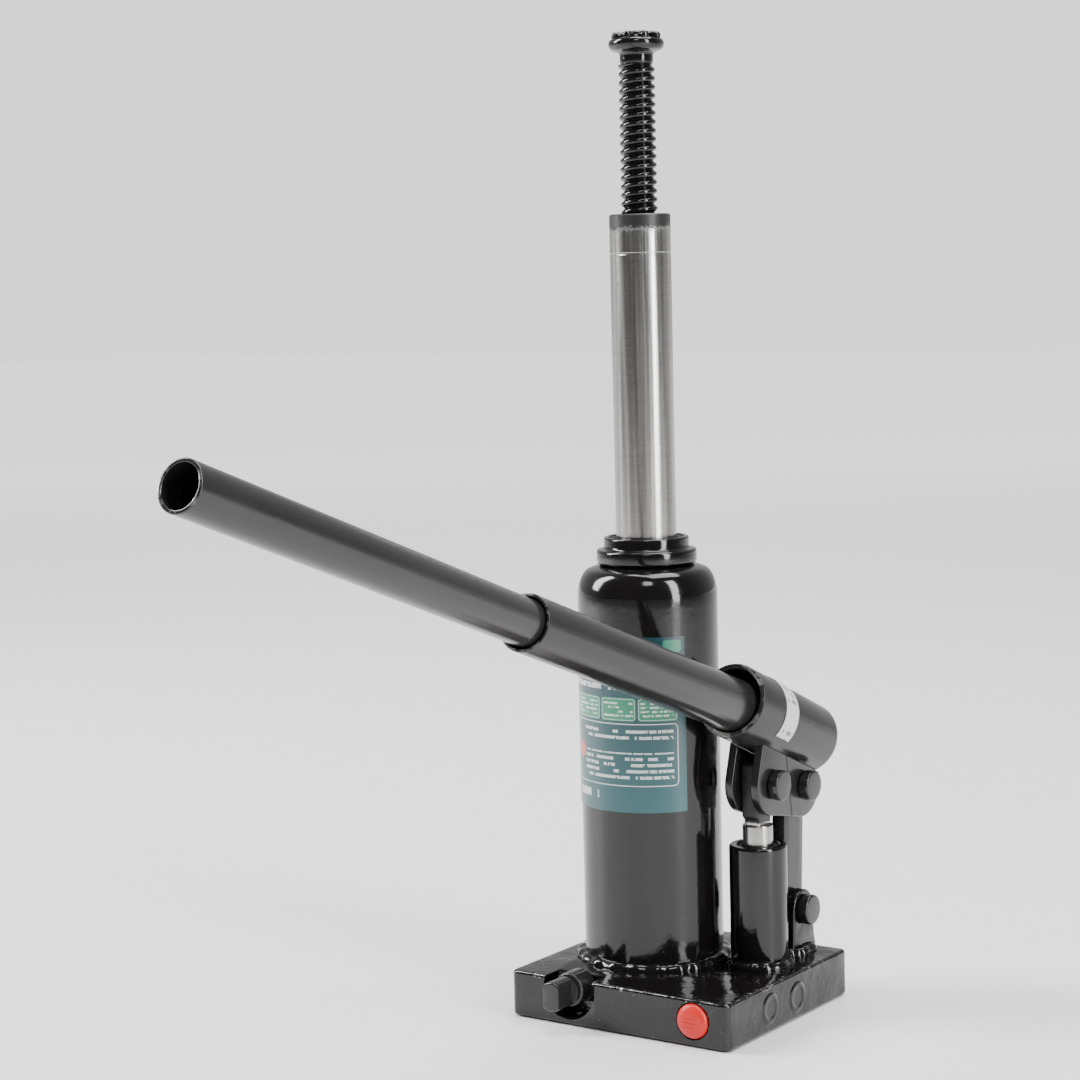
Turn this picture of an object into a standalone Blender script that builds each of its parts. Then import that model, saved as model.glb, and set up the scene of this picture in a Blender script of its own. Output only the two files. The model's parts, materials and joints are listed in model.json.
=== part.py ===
"""Hydraulic bottle jack, modelled as separate pieces in their extended position.

Frame: the origin is on the underside of the base, on the axis of the ram. +Z is up, the pump pins run
along +X, and the handle reaches out towards -Y. All named sizes are in millimetres.
"""

import math

import bmesh
import bpy
from mathutils import Matrix, Vector

MM = 0.001
GAP = 0.3
STEPS = 32
SMALL_STEPS = 14

# Heights and travels of the lift
TOTAL_HEIGHT = 345.0
RAM_TOP = 281.8
RAM_LENGTH = 152.0
SCREW_TRAVEL = 55.0
RAM_RADIUS = 10.8
RAM_BORE = 6.85
RAM_SPIGOT = 8.0

# Base block
BASE_X = (-32.2, 57.3)
BASE_Y = (-44.6, 39.4)
BASE_HEIGHT = 16.3
BASE_CORNER = 2.5

# Reservoir, gland and pressure cylinder
TANK_RADIUS = 25.0
TANK_WALL = 2.0
TANK_SHOULDER = 141.0
TANK_TOP = 158.3
GLAND_FLANGE = 17.9
GLAND_COLLAR = 15.2
GLAND_STEP = 163.8
GLAND_TOP = 168.1
CYLINDER_BORE = 12.5
CYLINDER_RADIUS = 15.5
CYLINDER_TOP = 150.0
POCKET_FLOOR = 8.3

# Pump
PUMP_X = 39.0
PUMP_Y = 8.3
PUMP_RADIUS = 10.3
PUMP_TOP = 59.2
PUMP_FOOT = 6.5
PUMP_SPIGOT = 8.7
PLUNGER_RADIUS = 5.4
PLUNGER_SHOULDER = 66.3

# Linkage pivots, as (y, z) in the plane x = PUMP_X
PLUNGER_PIVOT = (8.3, 81.0)
LINK_TOP_PIVOT = (30.0, 77.1)
LINK_FOOT_PIVOT = (28.0, 32.2)
PIN_RADIUS = 3.0
PIN_HEAD_RADIUS = 5.4
PIN_HEAD_LENGTH = 3.8
LINK_HALF = 2.6
LINK_RADIUS = 7.0
LINK_EYE = 4.7
EAR_INNER = 3.6
EAR_OUTER = 6.8
FRONT_LOBE = 11.0
REAR_LOBE = 11.5
LUG_INNER = 3.4
LUG_OUTER = 7.0

# Handle socket and two-piece handle
SOCKET_MOUTH = (-8.3, 113.0)
SOCKET_PITCH = 22.8
SOCKET_LENGTH = 57.8
SOCKET_RADIUS = 13.2
SOCKET_BORE = 11.3
SOCKET_BACK = 3.0
STICKER_RUN = (-16.0, -25.0)
STICKER_START = -36.0
STICKER_SWEEP = 160.0
STICKER_STEPS = 16
STICKER_THICKNESS = 0.25
HANDLE_END = (-280.2, 209.4)
HANDLE_PITCH = 19.8
INNER_TUBE = (7.65, 6.35, 0.0, 205.0)
OUTER_TUBE = (9.4, 8.3, 159.0, 340.0)

# Valves in the base
RELEASE_X = -7.5
RELEASE_Z = 12.4
RELEASE_FLOOR = -35.6
RELEASE_POCKET = 10.5
SAFETY_X = 43.3
SAFETY_Z = 8.8
PLUG_PLACES = ((-16.3, 8.1), (2.5, 7.6))
PLUG_RADIUS = 5.5

# Label on the reservoir
LABEL_Z = (73.0, 135.0)
LABEL_ANGLES = (-227.0, -27.6)

# Extension screw
SCREW_CORE = 5.25
THREAD_CREST = 6.45
THREAD_WIRE = 1.05
THREAD_PITCH = 3.0
THREAD_TOP = 333.6
THREAD_FOOT = 268.0
SCREW_FOOT = 259.8
HEAD_RADIUS = 9.8
HEAD_UNDER = 338.2


def clear_scene():
    for obj in list(bpy.data.objects):
        bpy.data.objects.remove(obj, do_unlink=True)


def make_collection(name):
    collection = bpy.data.collections.new(name)
    bpy.context.scene.collection.children.link(collection)
    return collection


def make_material(name, colour, roughness, metallic):
    material = bpy.data.materials.new(name)
    material.use_nodes = True
    shader = material.node_tree.nodes["Principled BSDF"]
    shader.inputs["Base Color"].default_value = (*colour, 1.0)
    shader.inputs["Roughness"].default_value = roughness
    shader.inputs["Metallic"].default_value = metallic
    material.diffuse_color = (*colour, 1.0)
    return material


clear_scene()
PARTS = make_collection("bottle_jack")
CUTTERS = make_collection("cutters")
BLACK_GLOSS = make_material("black_gloss", (0.010, 0.010, 0.011), 0.16, 0.0)
BLACK_SATIN = make_material("black_satin", (0.022, 0.022, 0.023), 0.38, 0.0)
STEEL = make_material("polished_steel", (0.62, 0.61, 0.60), 0.22, 1.0)
DARK_STEEL = make_material("dark_steel", (0.16, 0.16, 0.165), 0.40, 1.0)
RUBBER = make_material("black_rubber", (0.02, 0.02, 0.02), 0.75, 0.0)
RED_PLASTIC = make_material("red_plastic", (0.75, 0.03, 0.02), 0.35, 0.0)
TEAL_LABEL = make_material("teal_label", (0.02, 0.13, 0.15), 0.30, 0.0)
WHITE_LABEL = make_material("white_label", (0.80, 0.80, 0.79), 0.45, 0.0)


def add_object(name, mesh, material, collection=PARTS, place=None):
    obj = bpy.data.objects.new(name, mesh)
    collection.objects.link(obj)
    if material is not None:
        mesh.materials.append(material)
    if place is not None:
        obj.matrix_world = place
    if collection is CUTTERS:
        obj.hide_render = True
        obj.display_type = "WIRE"
    return obj


def at(x, y, z, turn=0.0, axis="X"):
    """Placement at a point in millimetres, turned about one axis by an angle in degrees."""
    return Matrix.Translation(Vector((x, y, z)) * MM) @ Matrix.Rotation(math.radians(turn), 4, axis)


def along_x(x, y, z):
    return at(x, y, z, 90.0, "Y")


def along_minus_y(x, y, z):
    return at(x, y, z, 90.0, "X")


def along_handle(y, z, pitch):
    """Local +Z runs out along a tube that rises towards -Y."""
    return at(PUMP_X, y, z, 90.0 - pitch, "X")


def arc(centre, radius, start, end, count):
    """Points of a circular arc, by angle in degrees."""
    points = []
    for step in range(count + 1):
        angle = math.radians(start + (end - start) * step / count)
        points.append((centre[0] + radius * math.cos(angle), centre[1] + radius * math.sin(angle)))
    return points


def turned(name, profile, material, place=None, steps=STEPS, closed=True, collection=PARTS):
    """A turned piece: (radius, height) points, down the outer side first, swept by a Screw modifier."""
    mesh = bpy.data.meshes.new(name)
    vertices = [(radius * MM, 0.0, height * MM) for radius, height in profile]
    edges = [(index, index + 1) for index in range(len(profile) - 1)]
    if closed:
        edges.append((len(profile) - 1, 0))
    mesh.from_pydata(vertices, edges, [])
    obj = add_object(name, mesh, material, collection, place)
    screw = obj.modifiers.new("Turn", "SCREW")
    screw.axis = "Z"
    screw.steps = steps
    screw.render_steps = steps
    screw.use_merge_vertices = True
    screw.merge_threshold = 0.000001
    screw.use_smooth_shade = True
    return obj


def turned_solid(name, profile, material, place=None, steps=STEPS, collection=PARTS):
    """A turned piece with no bore, whose profile starts and ends on the axis."""
    return turned(name, profile, material, place, steps, False, collection)


def ring(name, outer, inner, low, high, material, place=None, steps=STEPS, collection=PARTS, edge=0.0):
    """A plain ring or tube, with an optional chamfer on its outer edges."""
    profile = [(outer - edge, high), (outer, high - edge)] if edge else [(outer, high)]
    profile += [(outer, low + edge), (outer - edge, low)] if edge else [(outer, low)]
    profile += [(inner, low), (inner, high)]
    return turned(name, profile, material, place, steps, True, collection)


def rod(name, radius, low, high, material, place=None, steps=STEPS, collection=PARTS, edge=0.0):
    """A plain round bar on its local Z axis, with an optional chamfer."""
    profile = [(0.0, high)]
    profile += [(radius - edge, high), (radius, high - edge)] if edge else [(radius, high)]
    profile += [(radius, low + edge), (radius - edge, low)] if edge else [(radius, low)]
    profile += [(0.0, low)]
    return turned_solid(name, profile, material, place, steps, collection)


def drill(name, radius, low, high, place, steps=SMALL_STEPS):
    return rod(name, radius, low, high, None, place, steps, CUTTERS)


def stepped_drill(name, steps, top, place, count):
    """A cutter that narrows downwards: each step is a radius and the depth that it reaches."""
    profile = [(0.0, top), (steps[0][0], top)]
    for (radius, depth), (next_radius, _) in zip(steps, steps[1:] + [(0.0, 0.0)]):
        profile += [(radius, depth), (next_radius, depth)]
    return turned_solid(name, profile, None, place, count, CUTTERS)


def block(name, low, high, material, collection=PARTS):
    """A box between two corners."""
    mesh = bpy.data.meshes.new(name)
    work = bmesh.new()
    bmesh.ops.create_cube(work, size=1.0)
    size = [(b - a) * MM for a, b in zip(low, high)]
    middle = [(a + b) * 0.5 * MM for a, b in zip(low, high)]
    bmesh.ops.scale(work, vec=size, verts=work.verts)
    bmesh.ops.translate(work, vec=middle, verts=work.verts)
    work.to_mesh(mesh)
    work.free()
    return add_object(name, mesh, material, collection)


def plate(name, outline, x_low, x_high, material, collection=PARTS):
    """A flat plate in the YZ plane: a filled 2D curve with (y, z) points, extruded along X."""
    curve = bpy.data.curves.new(name, "CURVE")
    curve.dimensions = "2D"
    curve.fill_mode = "BOTH"
    curve.extrude = (x_high - x_low) * 0.5 * MM
    spline = curve.splines.new("POLY")
    spline.points.add(len(outline) - 1)
    for point, (y, z) in zip(spline.points, outline):
        point.co = (y * MM, z * MM, 0.0, 1.0)
    spline.use_cyclic_u = True
    holder = bpy.data.objects.new(name + "_outline", curve)
    CUTTERS.objects.link(holder)
    mesh = mesh_of(holder)
    turn = Matrix(((0, 0, 1, 0), (1, 0, 0, 0), (0, 1, 0, 0), (0, 0, 0, 1)))
    mesh.transform(Matrix.Translation(((x_low + x_high) * 0.5 * MM, 0.0, 0.0)) @ turn)
    mesh.name = name
    return add_object(name, mesh, material, collection)


def mesh_of(holder):
    """The welded mesh of a curve object, which is then removed."""
    bpy.context.view_layer.update()
    graph = bpy.context.evaluated_depsgraph_get()
    mesh = bpy.data.meshes.new_from_object(holder.evaluated_get(graph))
    work = bmesh.new()
    work.from_mesh(mesh)
    bmesh.ops.remove_doubles(work, verts=work.verts, dist=0.000001)
    bmesh.ops.recalc_face_normals(work, faces=work.faces)
    work.to_mesh(mesh)
    work.free()
    bpy.data.objects.remove(holder, do_unlink=True)
    return mesh


def combine(obj, other, operation):
    modifier = obj.modifiers.new(other.name, "BOOLEAN")
    modifier.operation = operation
    modifier.solver = "EXACT"
    modifier.object = other


def cut(obj, *cutters):
    for cutter in cutters:
        combine(obj, cutter, "DIFFERENCE")


def weld(obj, *others):
    for other in others:
        combine(obj, other, "UNION")


def bevel(obj, width, segments=2):
    modifier = obj.modifiers.new("Edges", "BEVEL")
    modifier.width = width * MM
    modifier.segments = segments
    modifier.limit_method = "ANGLE"
    modifier.angle_limit = math.radians(40.0)


def hull_outline(first, first_radius, second, second_radius, count=14):
    """A closed outline around two circles, joined by their outer tangents."""
    lean = math.degrees(math.atan2(second[1] - first[1], second[0] - first[0]))
    span = math.hypot(second[0] - first[0], second[1] - first[1])
    open_angle = math.degrees(math.acos((first_radius - second_radius) / span))
    points = arc(first, first_radius, lean + open_angle, lean + 360.0 - open_angle, count)
    points += arc(second, second_radius, lean - open_angle, lean + open_angle, count)
    return points


def make_base():
    """Cast base with its two link lugs, machined pockets, drilled passages and valve pockets."""
    base = block("base_block", (BASE_X[0], BASE_Y[0], 0.0), (BASE_X[1], BASE_Y[1], BASE_HEIGHT),
            BLACK_GLOSS)
    work = bmesh.new()
    work.from_mesh(base.data)
    uprights = [edge for edge in work.edges if abs(edge.verts[0].co.z - edge.verts[1].co.z) > MM]
    bmesh.ops.bevel(work, geom=uprights, offset=BASE_CORNER * MM, segments=4, affect="EDGES", profile=0.5)
    work.to_mesh(base.data)
    work.free()
    bevel(base, 0.8)
    top = LINK_FOOT_PIVOT
    for side, sign in (("near", 1.0), ("far", -1.0)):
        ends = sorted((PUMP_X + sign * LUG_INNER, PUMP_X + sign * LUG_OUTER))
        outline = arc(top, LINK_RADIUS, 0.0, 180.0, 12)
        outline += [(top[0] - LINK_RADIUS - 0.6, BASE_HEIGHT + 4.0),
                (top[0] - LINK_RADIUS - 0.8, BASE_HEIGHT - 2.0)]
        outline += [(top[0] + LINK_RADIUS + 3.6, BASE_HEIGHT - 2.0),
                (top[0] + LINK_RADIUS + 1.2, BASE_HEIGHT + 4.0)]
        weld(base, plate("lug_" + side, outline, ends[0], ends[1], None, CUTTERS))
    cut(base, drill("lug_bore", PIN_RADIUS + GAP, -12.0, 12.0, along_x(PUMP_X, *LINK_FOOT_PIVOT)))
    cut(base, drill("cylinder_pocket", CYLINDER_RADIUS + GAP, POCKET_FLOOR, 30.0, at(0, 0, 0), STEPS))
    cut(base, drill("pump_pocket", PUMP_SPIGOT + GAP, PUMP_FOOT - GAP, 30.0, at(PUMP_X, PUMP_Y, 0), 32))
    steps = [(RELEASE_POCKET, -RELEASE_FLOOR), (3.6, 22.0), (1.4, 10.0)]
    cut(base, stepped_drill("release_pocket", steps, 60.0, along_minus_y(RELEASE_X, 0, RELEASE_Z), STEPS))
    steps = [(6.5, -BASE_Y[0] - 3.0), (3.6, 24.0)]
    cut(base, stepped_drill("safety_pocket", steps, 60.0, along_minus_y(SAFETY_X, 0, SAFETY_Z), 20))
    for name, (y, z), depth in zip(("suction", "delivery"), PLUG_PLACES, (-46.0, -42.5)):
        steps = [(PLUG_RADIUS + GAP, -4.0), (2.4, depth)]
        cut(base, stepped_drill(name + "_passage", steps, 20.0, along_x(BASE_X[1], y, z), 20))
    cut(base, drill("suction_drop", 1.5, 7.9, 30.0, at(13.0, PLUG_PLACES[0][0], 0), 10))


def make_reservoir():
    """Reservoir shell, gland, wiper, pressure cylinder, gasket, weld bead, filler plug and label."""
    inner = TANK_RADIUS - TANK_WALL
    profile = [(16.6, TANK_TOP), (18.6, 157.7)]
    profile += [(19.6 + 5.4 * math.sin(math.radians(a)),
            147.0 + 10.2 * math.cos(math.radians(a))) for a in (20, 40, 60, 78)]
    profile += [(TANK_RADIUS, TANK_SHOULDER + 3.0), (TANK_RADIUS, BASE_HEIGHT + GAP),
            (inner, BASE_HEIGHT + GAP)]
    profile += [(inner, TANK_SHOULDER), (inner - 1.2, 148.5), (19.4, 153.2), (15.6, 155.2),
            (15.6, TANK_TOP)]
    shell = turned("tank_shell", profile, BLACK_GLOSS)
    filler = math.radians(118.0)
    side = Matrix.Rotation(filler, 4, "Z") @ along_x(0, 0, 122.0)
    cut(shell, drill("filler_hole", 4.3, 15.0, 32.0, side))
    plug = [(0, 27.6), (3.8, 27.6), (5.2, 26.9), (5.6, 25.9), (5.6, 25.5), (4.0, 25.5), (4.0, 21.5),
            (0, 21.5)]
    turned_solid("oil_filler_plug", plug, RUBBER, side, SMALL_STEPS)

    gland = [(GLAND_COLLAR - 1.2, GLAND_TOP), (GLAND_COLLAR, GLAND_TOP - 1.2), (GLAND_COLLAR, GLAND_STEP)]
    gland += [(GLAND_FLANGE - 0.9, GLAND_STEP - 0.1), (GLAND_FLANGE, GLAND_STEP - 1.1)]
    gland += [(GLAND_FLANGE, TANK_TOP + 1.2), (GLAND_FLANGE - 0.9, TANK_TOP + GAP),
            (GLAND_COLLAR, TANK_TOP + GAP)]
    gland += [(GLAND_COLLAR, CYLINDER_TOP + GAP), (RAM_RADIUS + GAP, CYLINDER_TOP + GAP),
            (RAM_RADIUS + GAP, 164.2)]
    gland += [(13.4, 164.2), (13.4, GLAND_TOP)]
    turned("gland_cap", gland, BLACK_GLOSS)
    ring("ram_wiper", 13.1, RAM_RADIUS + 0.2, 164.5, 167.6, RUBBER)
    ring("pressure_cylinder", CYLINDER_RADIUS, CYLINDER_BORE, 9.6, CYLINDER_TOP, DARK_STEEL)
    ring("cylinder_gasket", CYLINDER_RADIUS, CYLINDER_BORE - 0.5, POCKET_FLOOR + GAP, 9.3, RUBBER,
            steps=32)
    low = BASE_HEIGHT + GAP
    inside = TANK_RADIUS + GAP
    bead = [(inside, low + 2.8), (inside + 0.9, low + 2.2), (inside + 1.6, low + 1.2),
            (inside + 1.9, low), (inside, low)]
    turned("tank_weld_bead", bead, BLACK_GLOSS)
    make_label()


def make_label():
    """Printed wrap on the reservoir: a thin curved sheet with square ends."""
    sheet = bpy.data.meshes.new("tank_label")
    radius = (TANK_RADIUS + 0.12) * MM
    start, end = (math.radians(angle) for angle in LABEL_ANGLES)
    vertices = [(radius * math.cos(start), radius * math.sin(start), z * MM) for z in reversed(LABEL_Z)]
    sheet.from_pydata(vertices, [(0, 1)], [])
    label = add_object("tank_label", sheet, TEAL_LABEL)
    screw = label.modifiers.new("Wrap", "SCREW")
    screw.axis = "Z"
    screw.angle = end - start
    screw.steps = 36
    screw.render_steps = 36
    screw.merge_threshold = 0.000001
    thick = label.modifiers.new("Thickness", "SOLIDIFY")
    thick.thickness = 0.25 * MM
    thick.offset = 1.0


def make_ram():
    """Hollow ram with its cup seal and retaining nut."""
    foot = RAM_TOP - RAM_LENGTH
    profile = [(RAM_BORE + 0.6, RAM_TOP), (RAM_RADIUS - 0.6, RAM_TOP), (RAM_RADIUS, RAM_TOP - 0.6)]
    profile += [(RAM_RADIUS, foot + 6.5), (RAM_SPIGOT, foot + 6.5), (RAM_SPIGOT, foot), (0.0, foot)]
    bore_floor = SCREW_FOOT - SCREW_TRAVEL - 4.0
    bore = [(0.0, bore_floor), (RAM_BORE, bore_floor), (RAM_BORE, RAM_TOP - 0.6)]
    turned_solid("ram", bore + profile, STEEL)
    cup = [(12.2, foot + 6.2), (12.2, foot + 0.6), (11.6, foot + 0.2), (RAM_SPIGOT + GAP, foot + 0.2)]
    cup += [(RAM_SPIGOT + GAP, foot + 6.2)]
    turned("ram_cup_seal", cup, RUBBER)
    nut = [(0, foot - 0.3), (9.8, foot - 0.3), (10.4, foot - 0.9), (10.4, foot - 3.2), (0, foot - 3.2)]
    turned_solid("ram_retaining_nut", nut, DARK_STEEL, steps=32)


def make_screw():
    """Extension screw: a rounded helical thread on a core, with a ribbed saddle head."""
    core = [(0, 342.9), (7.6, 342.9), (9.0, 342.4), (HEAD_RADIUS, 341.3), (HEAD_RADIUS, 340.2),
            (9.2, 338.9), (8.2, HEAD_UNDER)]
    core += [(5.85, HEAD_UNDER), (5.85, THREAD_TOP + 1.1), (SCREW_CORE, THREAD_TOP),
            (SCREW_CORE, THREAD_FOOT)]
    core += [(4.0, THREAD_FOOT - 1.2), (4.0, SCREW_FOOT), (0, SCREW_FOOT)]
    screw = turned_solid("extension_screw", core, BLACK_GLOSS, steps=16)
    weld(screw, rod("saddle_centre", 5.2, 340.0, TOTAL_HEIGHT, None, None, 24, CUTTERS, 0.5))
    for index in range(8):
        turn = Matrix.Rotation(math.radians(45.0 * index + 10.0), 4, "Z")
        rib = rod("saddle_rib_%d" % index, 1.5, 3.0, 8.0, None,
                turn @ along_x(0, 0, TOTAL_HEIGHT - 1.5), 8, CUTTERS, 0.5)
        weld(screw, rib)
    curve = bpy.data.curves.new("thread", "CURVE")
    curve.dimensions = "3D"
    curve.bevel_depth = THREAD_WIRE * MM
    curve.bevel_resolution = 0
    curve.use_fill_caps = True
    spline = curve.splines.new("POLY")
    per_turn = 8
    count = int(per_turn * (THREAD_TOP - THREAD_FOOT - 2.0) / THREAD_PITCH)
    spline.points.add(count)
    radius = THREAD_CREST - THREAD_WIRE
    for index, point in enumerate(spline.points):
        angle = 2.0 * math.pi * index / per_turn
        height = THREAD_FOOT + 1.0 + THREAD_PITCH * index / per_turn
        point.co = (radius * math.cos(angle) * MM, radius * math.sin(angle) * MM, height * MM, 1.0)
    holder = bpy.data.objects.new("thread_path", curve)
    CUTTERS.objects.link(holder)
    weld(screw, add_object("thread_ridge", mesh_of(holder), None, CUTTERS))
    ring("screw_stop_ring", 6.2, 4.0 + GAP, SCREW_FOOT + 0.5, SCREW_FOOT + 4.0, STEEL, steps=SMALL_STEPS)


def make_pump():
    """Pump barrel with its packing, weld bead, and the plunger with its flat slotted eye."""
    barrel = [(PUMP_RADIUS - 0.8, PUMP_TOP), (PUMP_RADIUS, PUMP_TOP - 0.8),
            (PUMP_RADIUS, BASE_HEIGHT + GAP)]
    barrel += [(PUMP_SPIGOT, BASE_HEIGHT + GAP), (PUMP_SPIGOT, PUMP_FOOT), (1.4, PUMP_FOOT), (1.4, 9.5)]
    barrel += [(PLUNGER_RADIUS + GAP, 9.5), (PLUNGER_RADIUS + GAP, 50.0), (7.4, 50.0), (7.4, PUMP_TOP)]
    turned("pump_barrel", barrel, BLACK_GLOSS, at(PUMP_X, PUMP_Y, 0))
    ring("pump_packing", 7.1, PLUNGER_RADIUS + 0.2, 50.3, PUMP_TOP - 0.6, RUBBER, at(PUMP_X, PUMP_Y, 0),
            32)
    low = BASE_HEIGHT + GAP
    inside = PUMP_RADIUS + GAP
    bead = [(inside, low + 2.0), (inside + 0.9, low + 1.4), (inside + 1.5, low), (inside, low)]
    turned("pump_weld_bead", bead, BLACK_GLOSS, at(PUMP_X, PUMP_Y, 0), 32)

    stem = [(0, PLUNGER_SHOULDER), (PLUNGER_RADIUS - 0.5, PLUNGER_SHOULDER),
            (PLUNGER_RADIUS, PLUNGER_SHOULDER - 0.5)]
    stem += [(PLUNGER_RADIUS, 24.5), (4.0, 24.5), (4.0, 21.0), (PLUNGER_RADIUS, 21.0),
            (PLUNGER_RADIUS, 20.0), (0, 20.0)]
    plunger = turned_solid("pump_plunger", stem, STEEL, at(PUMP_X, PUMP_Y, 0), 32)
    y, z = PLUNGER_PIVOT
    root = PLUNGER_SHOULDER + 1.8
    crown = [(y + 4.0, PLUNGER_SHOULDER - 3.0), (y + 4.0, root), (y + 7.0, root + 2.4), (y + 7.0, z + 5.6)]
    crown += arc((y, z), 9.0, 40.0, 125.0, 8)
    crown += [(y - 5.6, z + 6.4), (y - 5.6, root + 1.4), (y - 4.0, root), (y - 4.0, PLUNGER_SHOULDER - 3.0)]
    weld(plunger, plate("plunger_tongue", crown, PUMP_X - 3.2, PUMP_X + 3.2, None, CUTTERS))
    slot = hull_outline((y, z), PIN_RADIUS + 0.5, (y + 1.7, z), PIN_RADIUS + 0.5, 10)
    cut(plunger, plate("tongue_slot", slot, PUMP_X - 8.0, PUMP_X + 8.0, None, CUTTERS))
    ring("plunger_seal", PLUNGER_RADIUS + 0.1, 4.0 + GAP, 21.3, 24.2, RUBBER, at(PUMP_X, PUMP_Y, 0),
            SMALL_STEPS)


def make_link():
    """Flat link between the base lugs and the socket ears."""
    outline = arc(LINK_FOOT_PIVOT, LINK_RADIUS, 180.0, 360.0, 14)
    foot, head = LINK_FOOT_PIVOT, LINK_TOP_PIVOT
    outline += [(head[0] + LINK_RADIUS - 0.4, head[1] - 9.0), (head[0] + LINK_EYE, head[1] - 1.5)]
    outline += arc(head, LINK_EYE, 0.0, 180.0, 12)
    outline += [(head[0] - LINK_EYE, head[1] - 1.5), (head[0] - LINK_RADIUS, head[1] - 9.0)]
    link = plate("link_bar", outline, PUMP_X - LINK_HALF, PUMP_X + LINK_HALF, BLACK_SATIN)
    for index, pivot in enumerate((foot, head)):
        cut(link, drill("link_bore_%d" % index, PIN_RADIUS + GAP, -12.0, 12.0, along_x(PUMP_X, *pivot)))


def make_pin(name, pivot):
    """Headed pin with a retaining washer on its far end, held by a split pin hole."""
    face = EAR_OUTER + 0.5
    profile = [(0, face + PIN_HEAD_LENGTH), (PIN_HEAD_RADIUS - 0.7, face + PIN_HEAD_LENGTH)]
    profile += [(PIN_HEAD_RADIUS, face + PIN_HEAD_LENGTH - 0.7), (PIN_HEAD_RADIUS, face),
            (PIN_RADIUS, face)]
    profile += [(PIN_RADIUS, -face - 3.6), (PIN_RADIUS - 0.5, -face - 4.1), (0, -face - 4.1)]
    place = along_x(PUMP_X, *pivot)
    pin = turned_solid(name, profile, BLACK_SATIN, place, 20)
    cut(pin, drill(name + "_cotter_hole", 0.8, -6.0, 6.0, at(PUMP_X - face - 2.4, *pivot), 12))
    ring(name + "_washer", 5.2, PIN_RADIUS + GAP, -face - 1.2, -face, DARK_STEEL, place, 20)
    make_cotter(name + "_cotter", pivot, PUMP_X - face - 2.4)


def make_cotter(name, pivot, x):
    """Split pin through the far end of a pin: a loop on top and two legs folded below."""
    y, z = pivot
    loop = turned(name, [(1.9, 0.45), (1.9, -0.45), (0.9, -0.45), (0.9, 0.45)], DARK_STEEL,
            at(x, y, z + 5.4, 90.0, "Y"), 16)
    weld(loop, rod(name + "_leg", 0.5, -5.6, 3.9, None, at(x, y, z), 12, CUTTERS))


def ear_outline():
    """Outline of a socket ear: two round lobes about its pins, running up into the tube."""
    front, rear = PLUNGER_PIVOT, LINK_TOP_PIVOT
    lean = math.degrees(math.atan2(rear[1] - front[1], rear[0] - front[0]))
    outline = arc(front, FRONT_LOBE, 168.0, 270.0 + lean, 12)
    outline += arc(rear, REAR_LOBE, 270.0 + lean, 372.0, 14)
    outline += [(rear[0] + 9.5, 88.0), (front[0] - 3.0, 106.0), (front[0] - 6.4, 97.5)]
    return outline


def make_socket():
    """Handle socket tube, its two welded ears and their pins."""
    place = along_handle(SOCKET_MOUTH[0], SOCKET_MOUTH[1], SOCKET_PITCH)
    back = -SOCKET_LENGTH
    floor = back + SOCKET_BACK
    profile = [(SOCKET_BORE + 0.5, 0.0), (SOCKET_RADIUS - 0.6, 0.0), (SOCKET_RADIUS, -0.6)]
    profile += [(SOCKET_RADIUS, back + 2.0), (SOCKET_RADIUS - 0.6, back + 0.6),
            (SOCKET_RADIUS - 2.0, back)]
    profile += [(4.0, back), (4.0, floor), (SOCKET_BORE, floor), (SOCKET_BORE, -0.5)]
    turned("socket_tube", profile, BLACK_SATIN, place)
    clear = drill("ear_saddle", SOCKET_RADIUS + GAP, back - 6.0, 6.0, place, STEPS)
    for side, sign in (("near", 1.0), ("far", -1.0)):
        ends = sorted((PUMP_X + sign * EAR_INNER, PUMP_X + sign * EAR_OUTER))
        ear = plate("socket_ear_" + side, ear_outline(), ends[0], ends[1], BLACK_SATIN)
        cut(ear, clear)
        for name, pivot in (("plunger", PLUNGER_PIVOT), ("link", LINK_TOP_PIVOT)):
            cut(ear,
                    drill("ear_bore_%s_%s" % (name, side), PIN_RADIUS + GAP, -12.0, 12.0,
                            along_x(PUMP_X, *pivot)))
    make_pin("plunger_pin", PLUNGER_PIVOT)
    make_pin("link_top_pin", LINK_TOP_PIVOT)
    make_pin("link_foot_pin", LINK_FOOT_PIVOT)
    make_sticker(place)


def make_sticker(place):
    """Small white band on the near side of the socket tube."""
    sheet = bpy.data.meshes.new("socket_sticker")
    radius = (SOCKET_RADIUS + 0.12) * MM
    start = math.radians(STICKER_START)
    vertices = [(radius * math.cos(start), radius * math.sin(start), z * MM) for z in STICKER_RUN]
    sheet.from_pydata(vertices, [(0, 1)], [])
    sticker = add_object("socket_sticker", sheet, WHITE_LABEL, PARTS, place)
    screw = sticker.modifiers.new("Wrap", "SCREW")
    screw.axis = "Z"
    screw.angle = math.radians(STICKER_SWEEP)
    screw.steps = STICKER_STEPS
    screw.render_steps = STICKER_STEPS
    screw.merge_threshold = 0.000001
    thick = sticker.modifiers.new("Thickness", "SOLIDIFY")
    thick.thickness = STICKER_THICKNESS * MM
    thick.offset = 1.0


def make_handle():
    """Two telescoping handle tubes with rolled rims."""
    place = along_handle(HANDLE_END[0], HANDLE_END[1], HANDLE_PITCH)
    for name, (outer, inner, near, far) in (("handle_inner_tube", INNER_TUBE),
            ("handle_outer_tube", OUTER_TUBE)):
        profile = [(inner + 0.3, -near), (outer - 0.4, -near), (outer, -near - 0.4), (outer, -far + 0.4)]
        profile += [(outer - 0.4, -far), (inner + 0.3, -far), (inner, -far + 0.3), (inner, -near - 0.3)]
        turned(name, profile, BLACK_SATIN, place)


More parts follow.
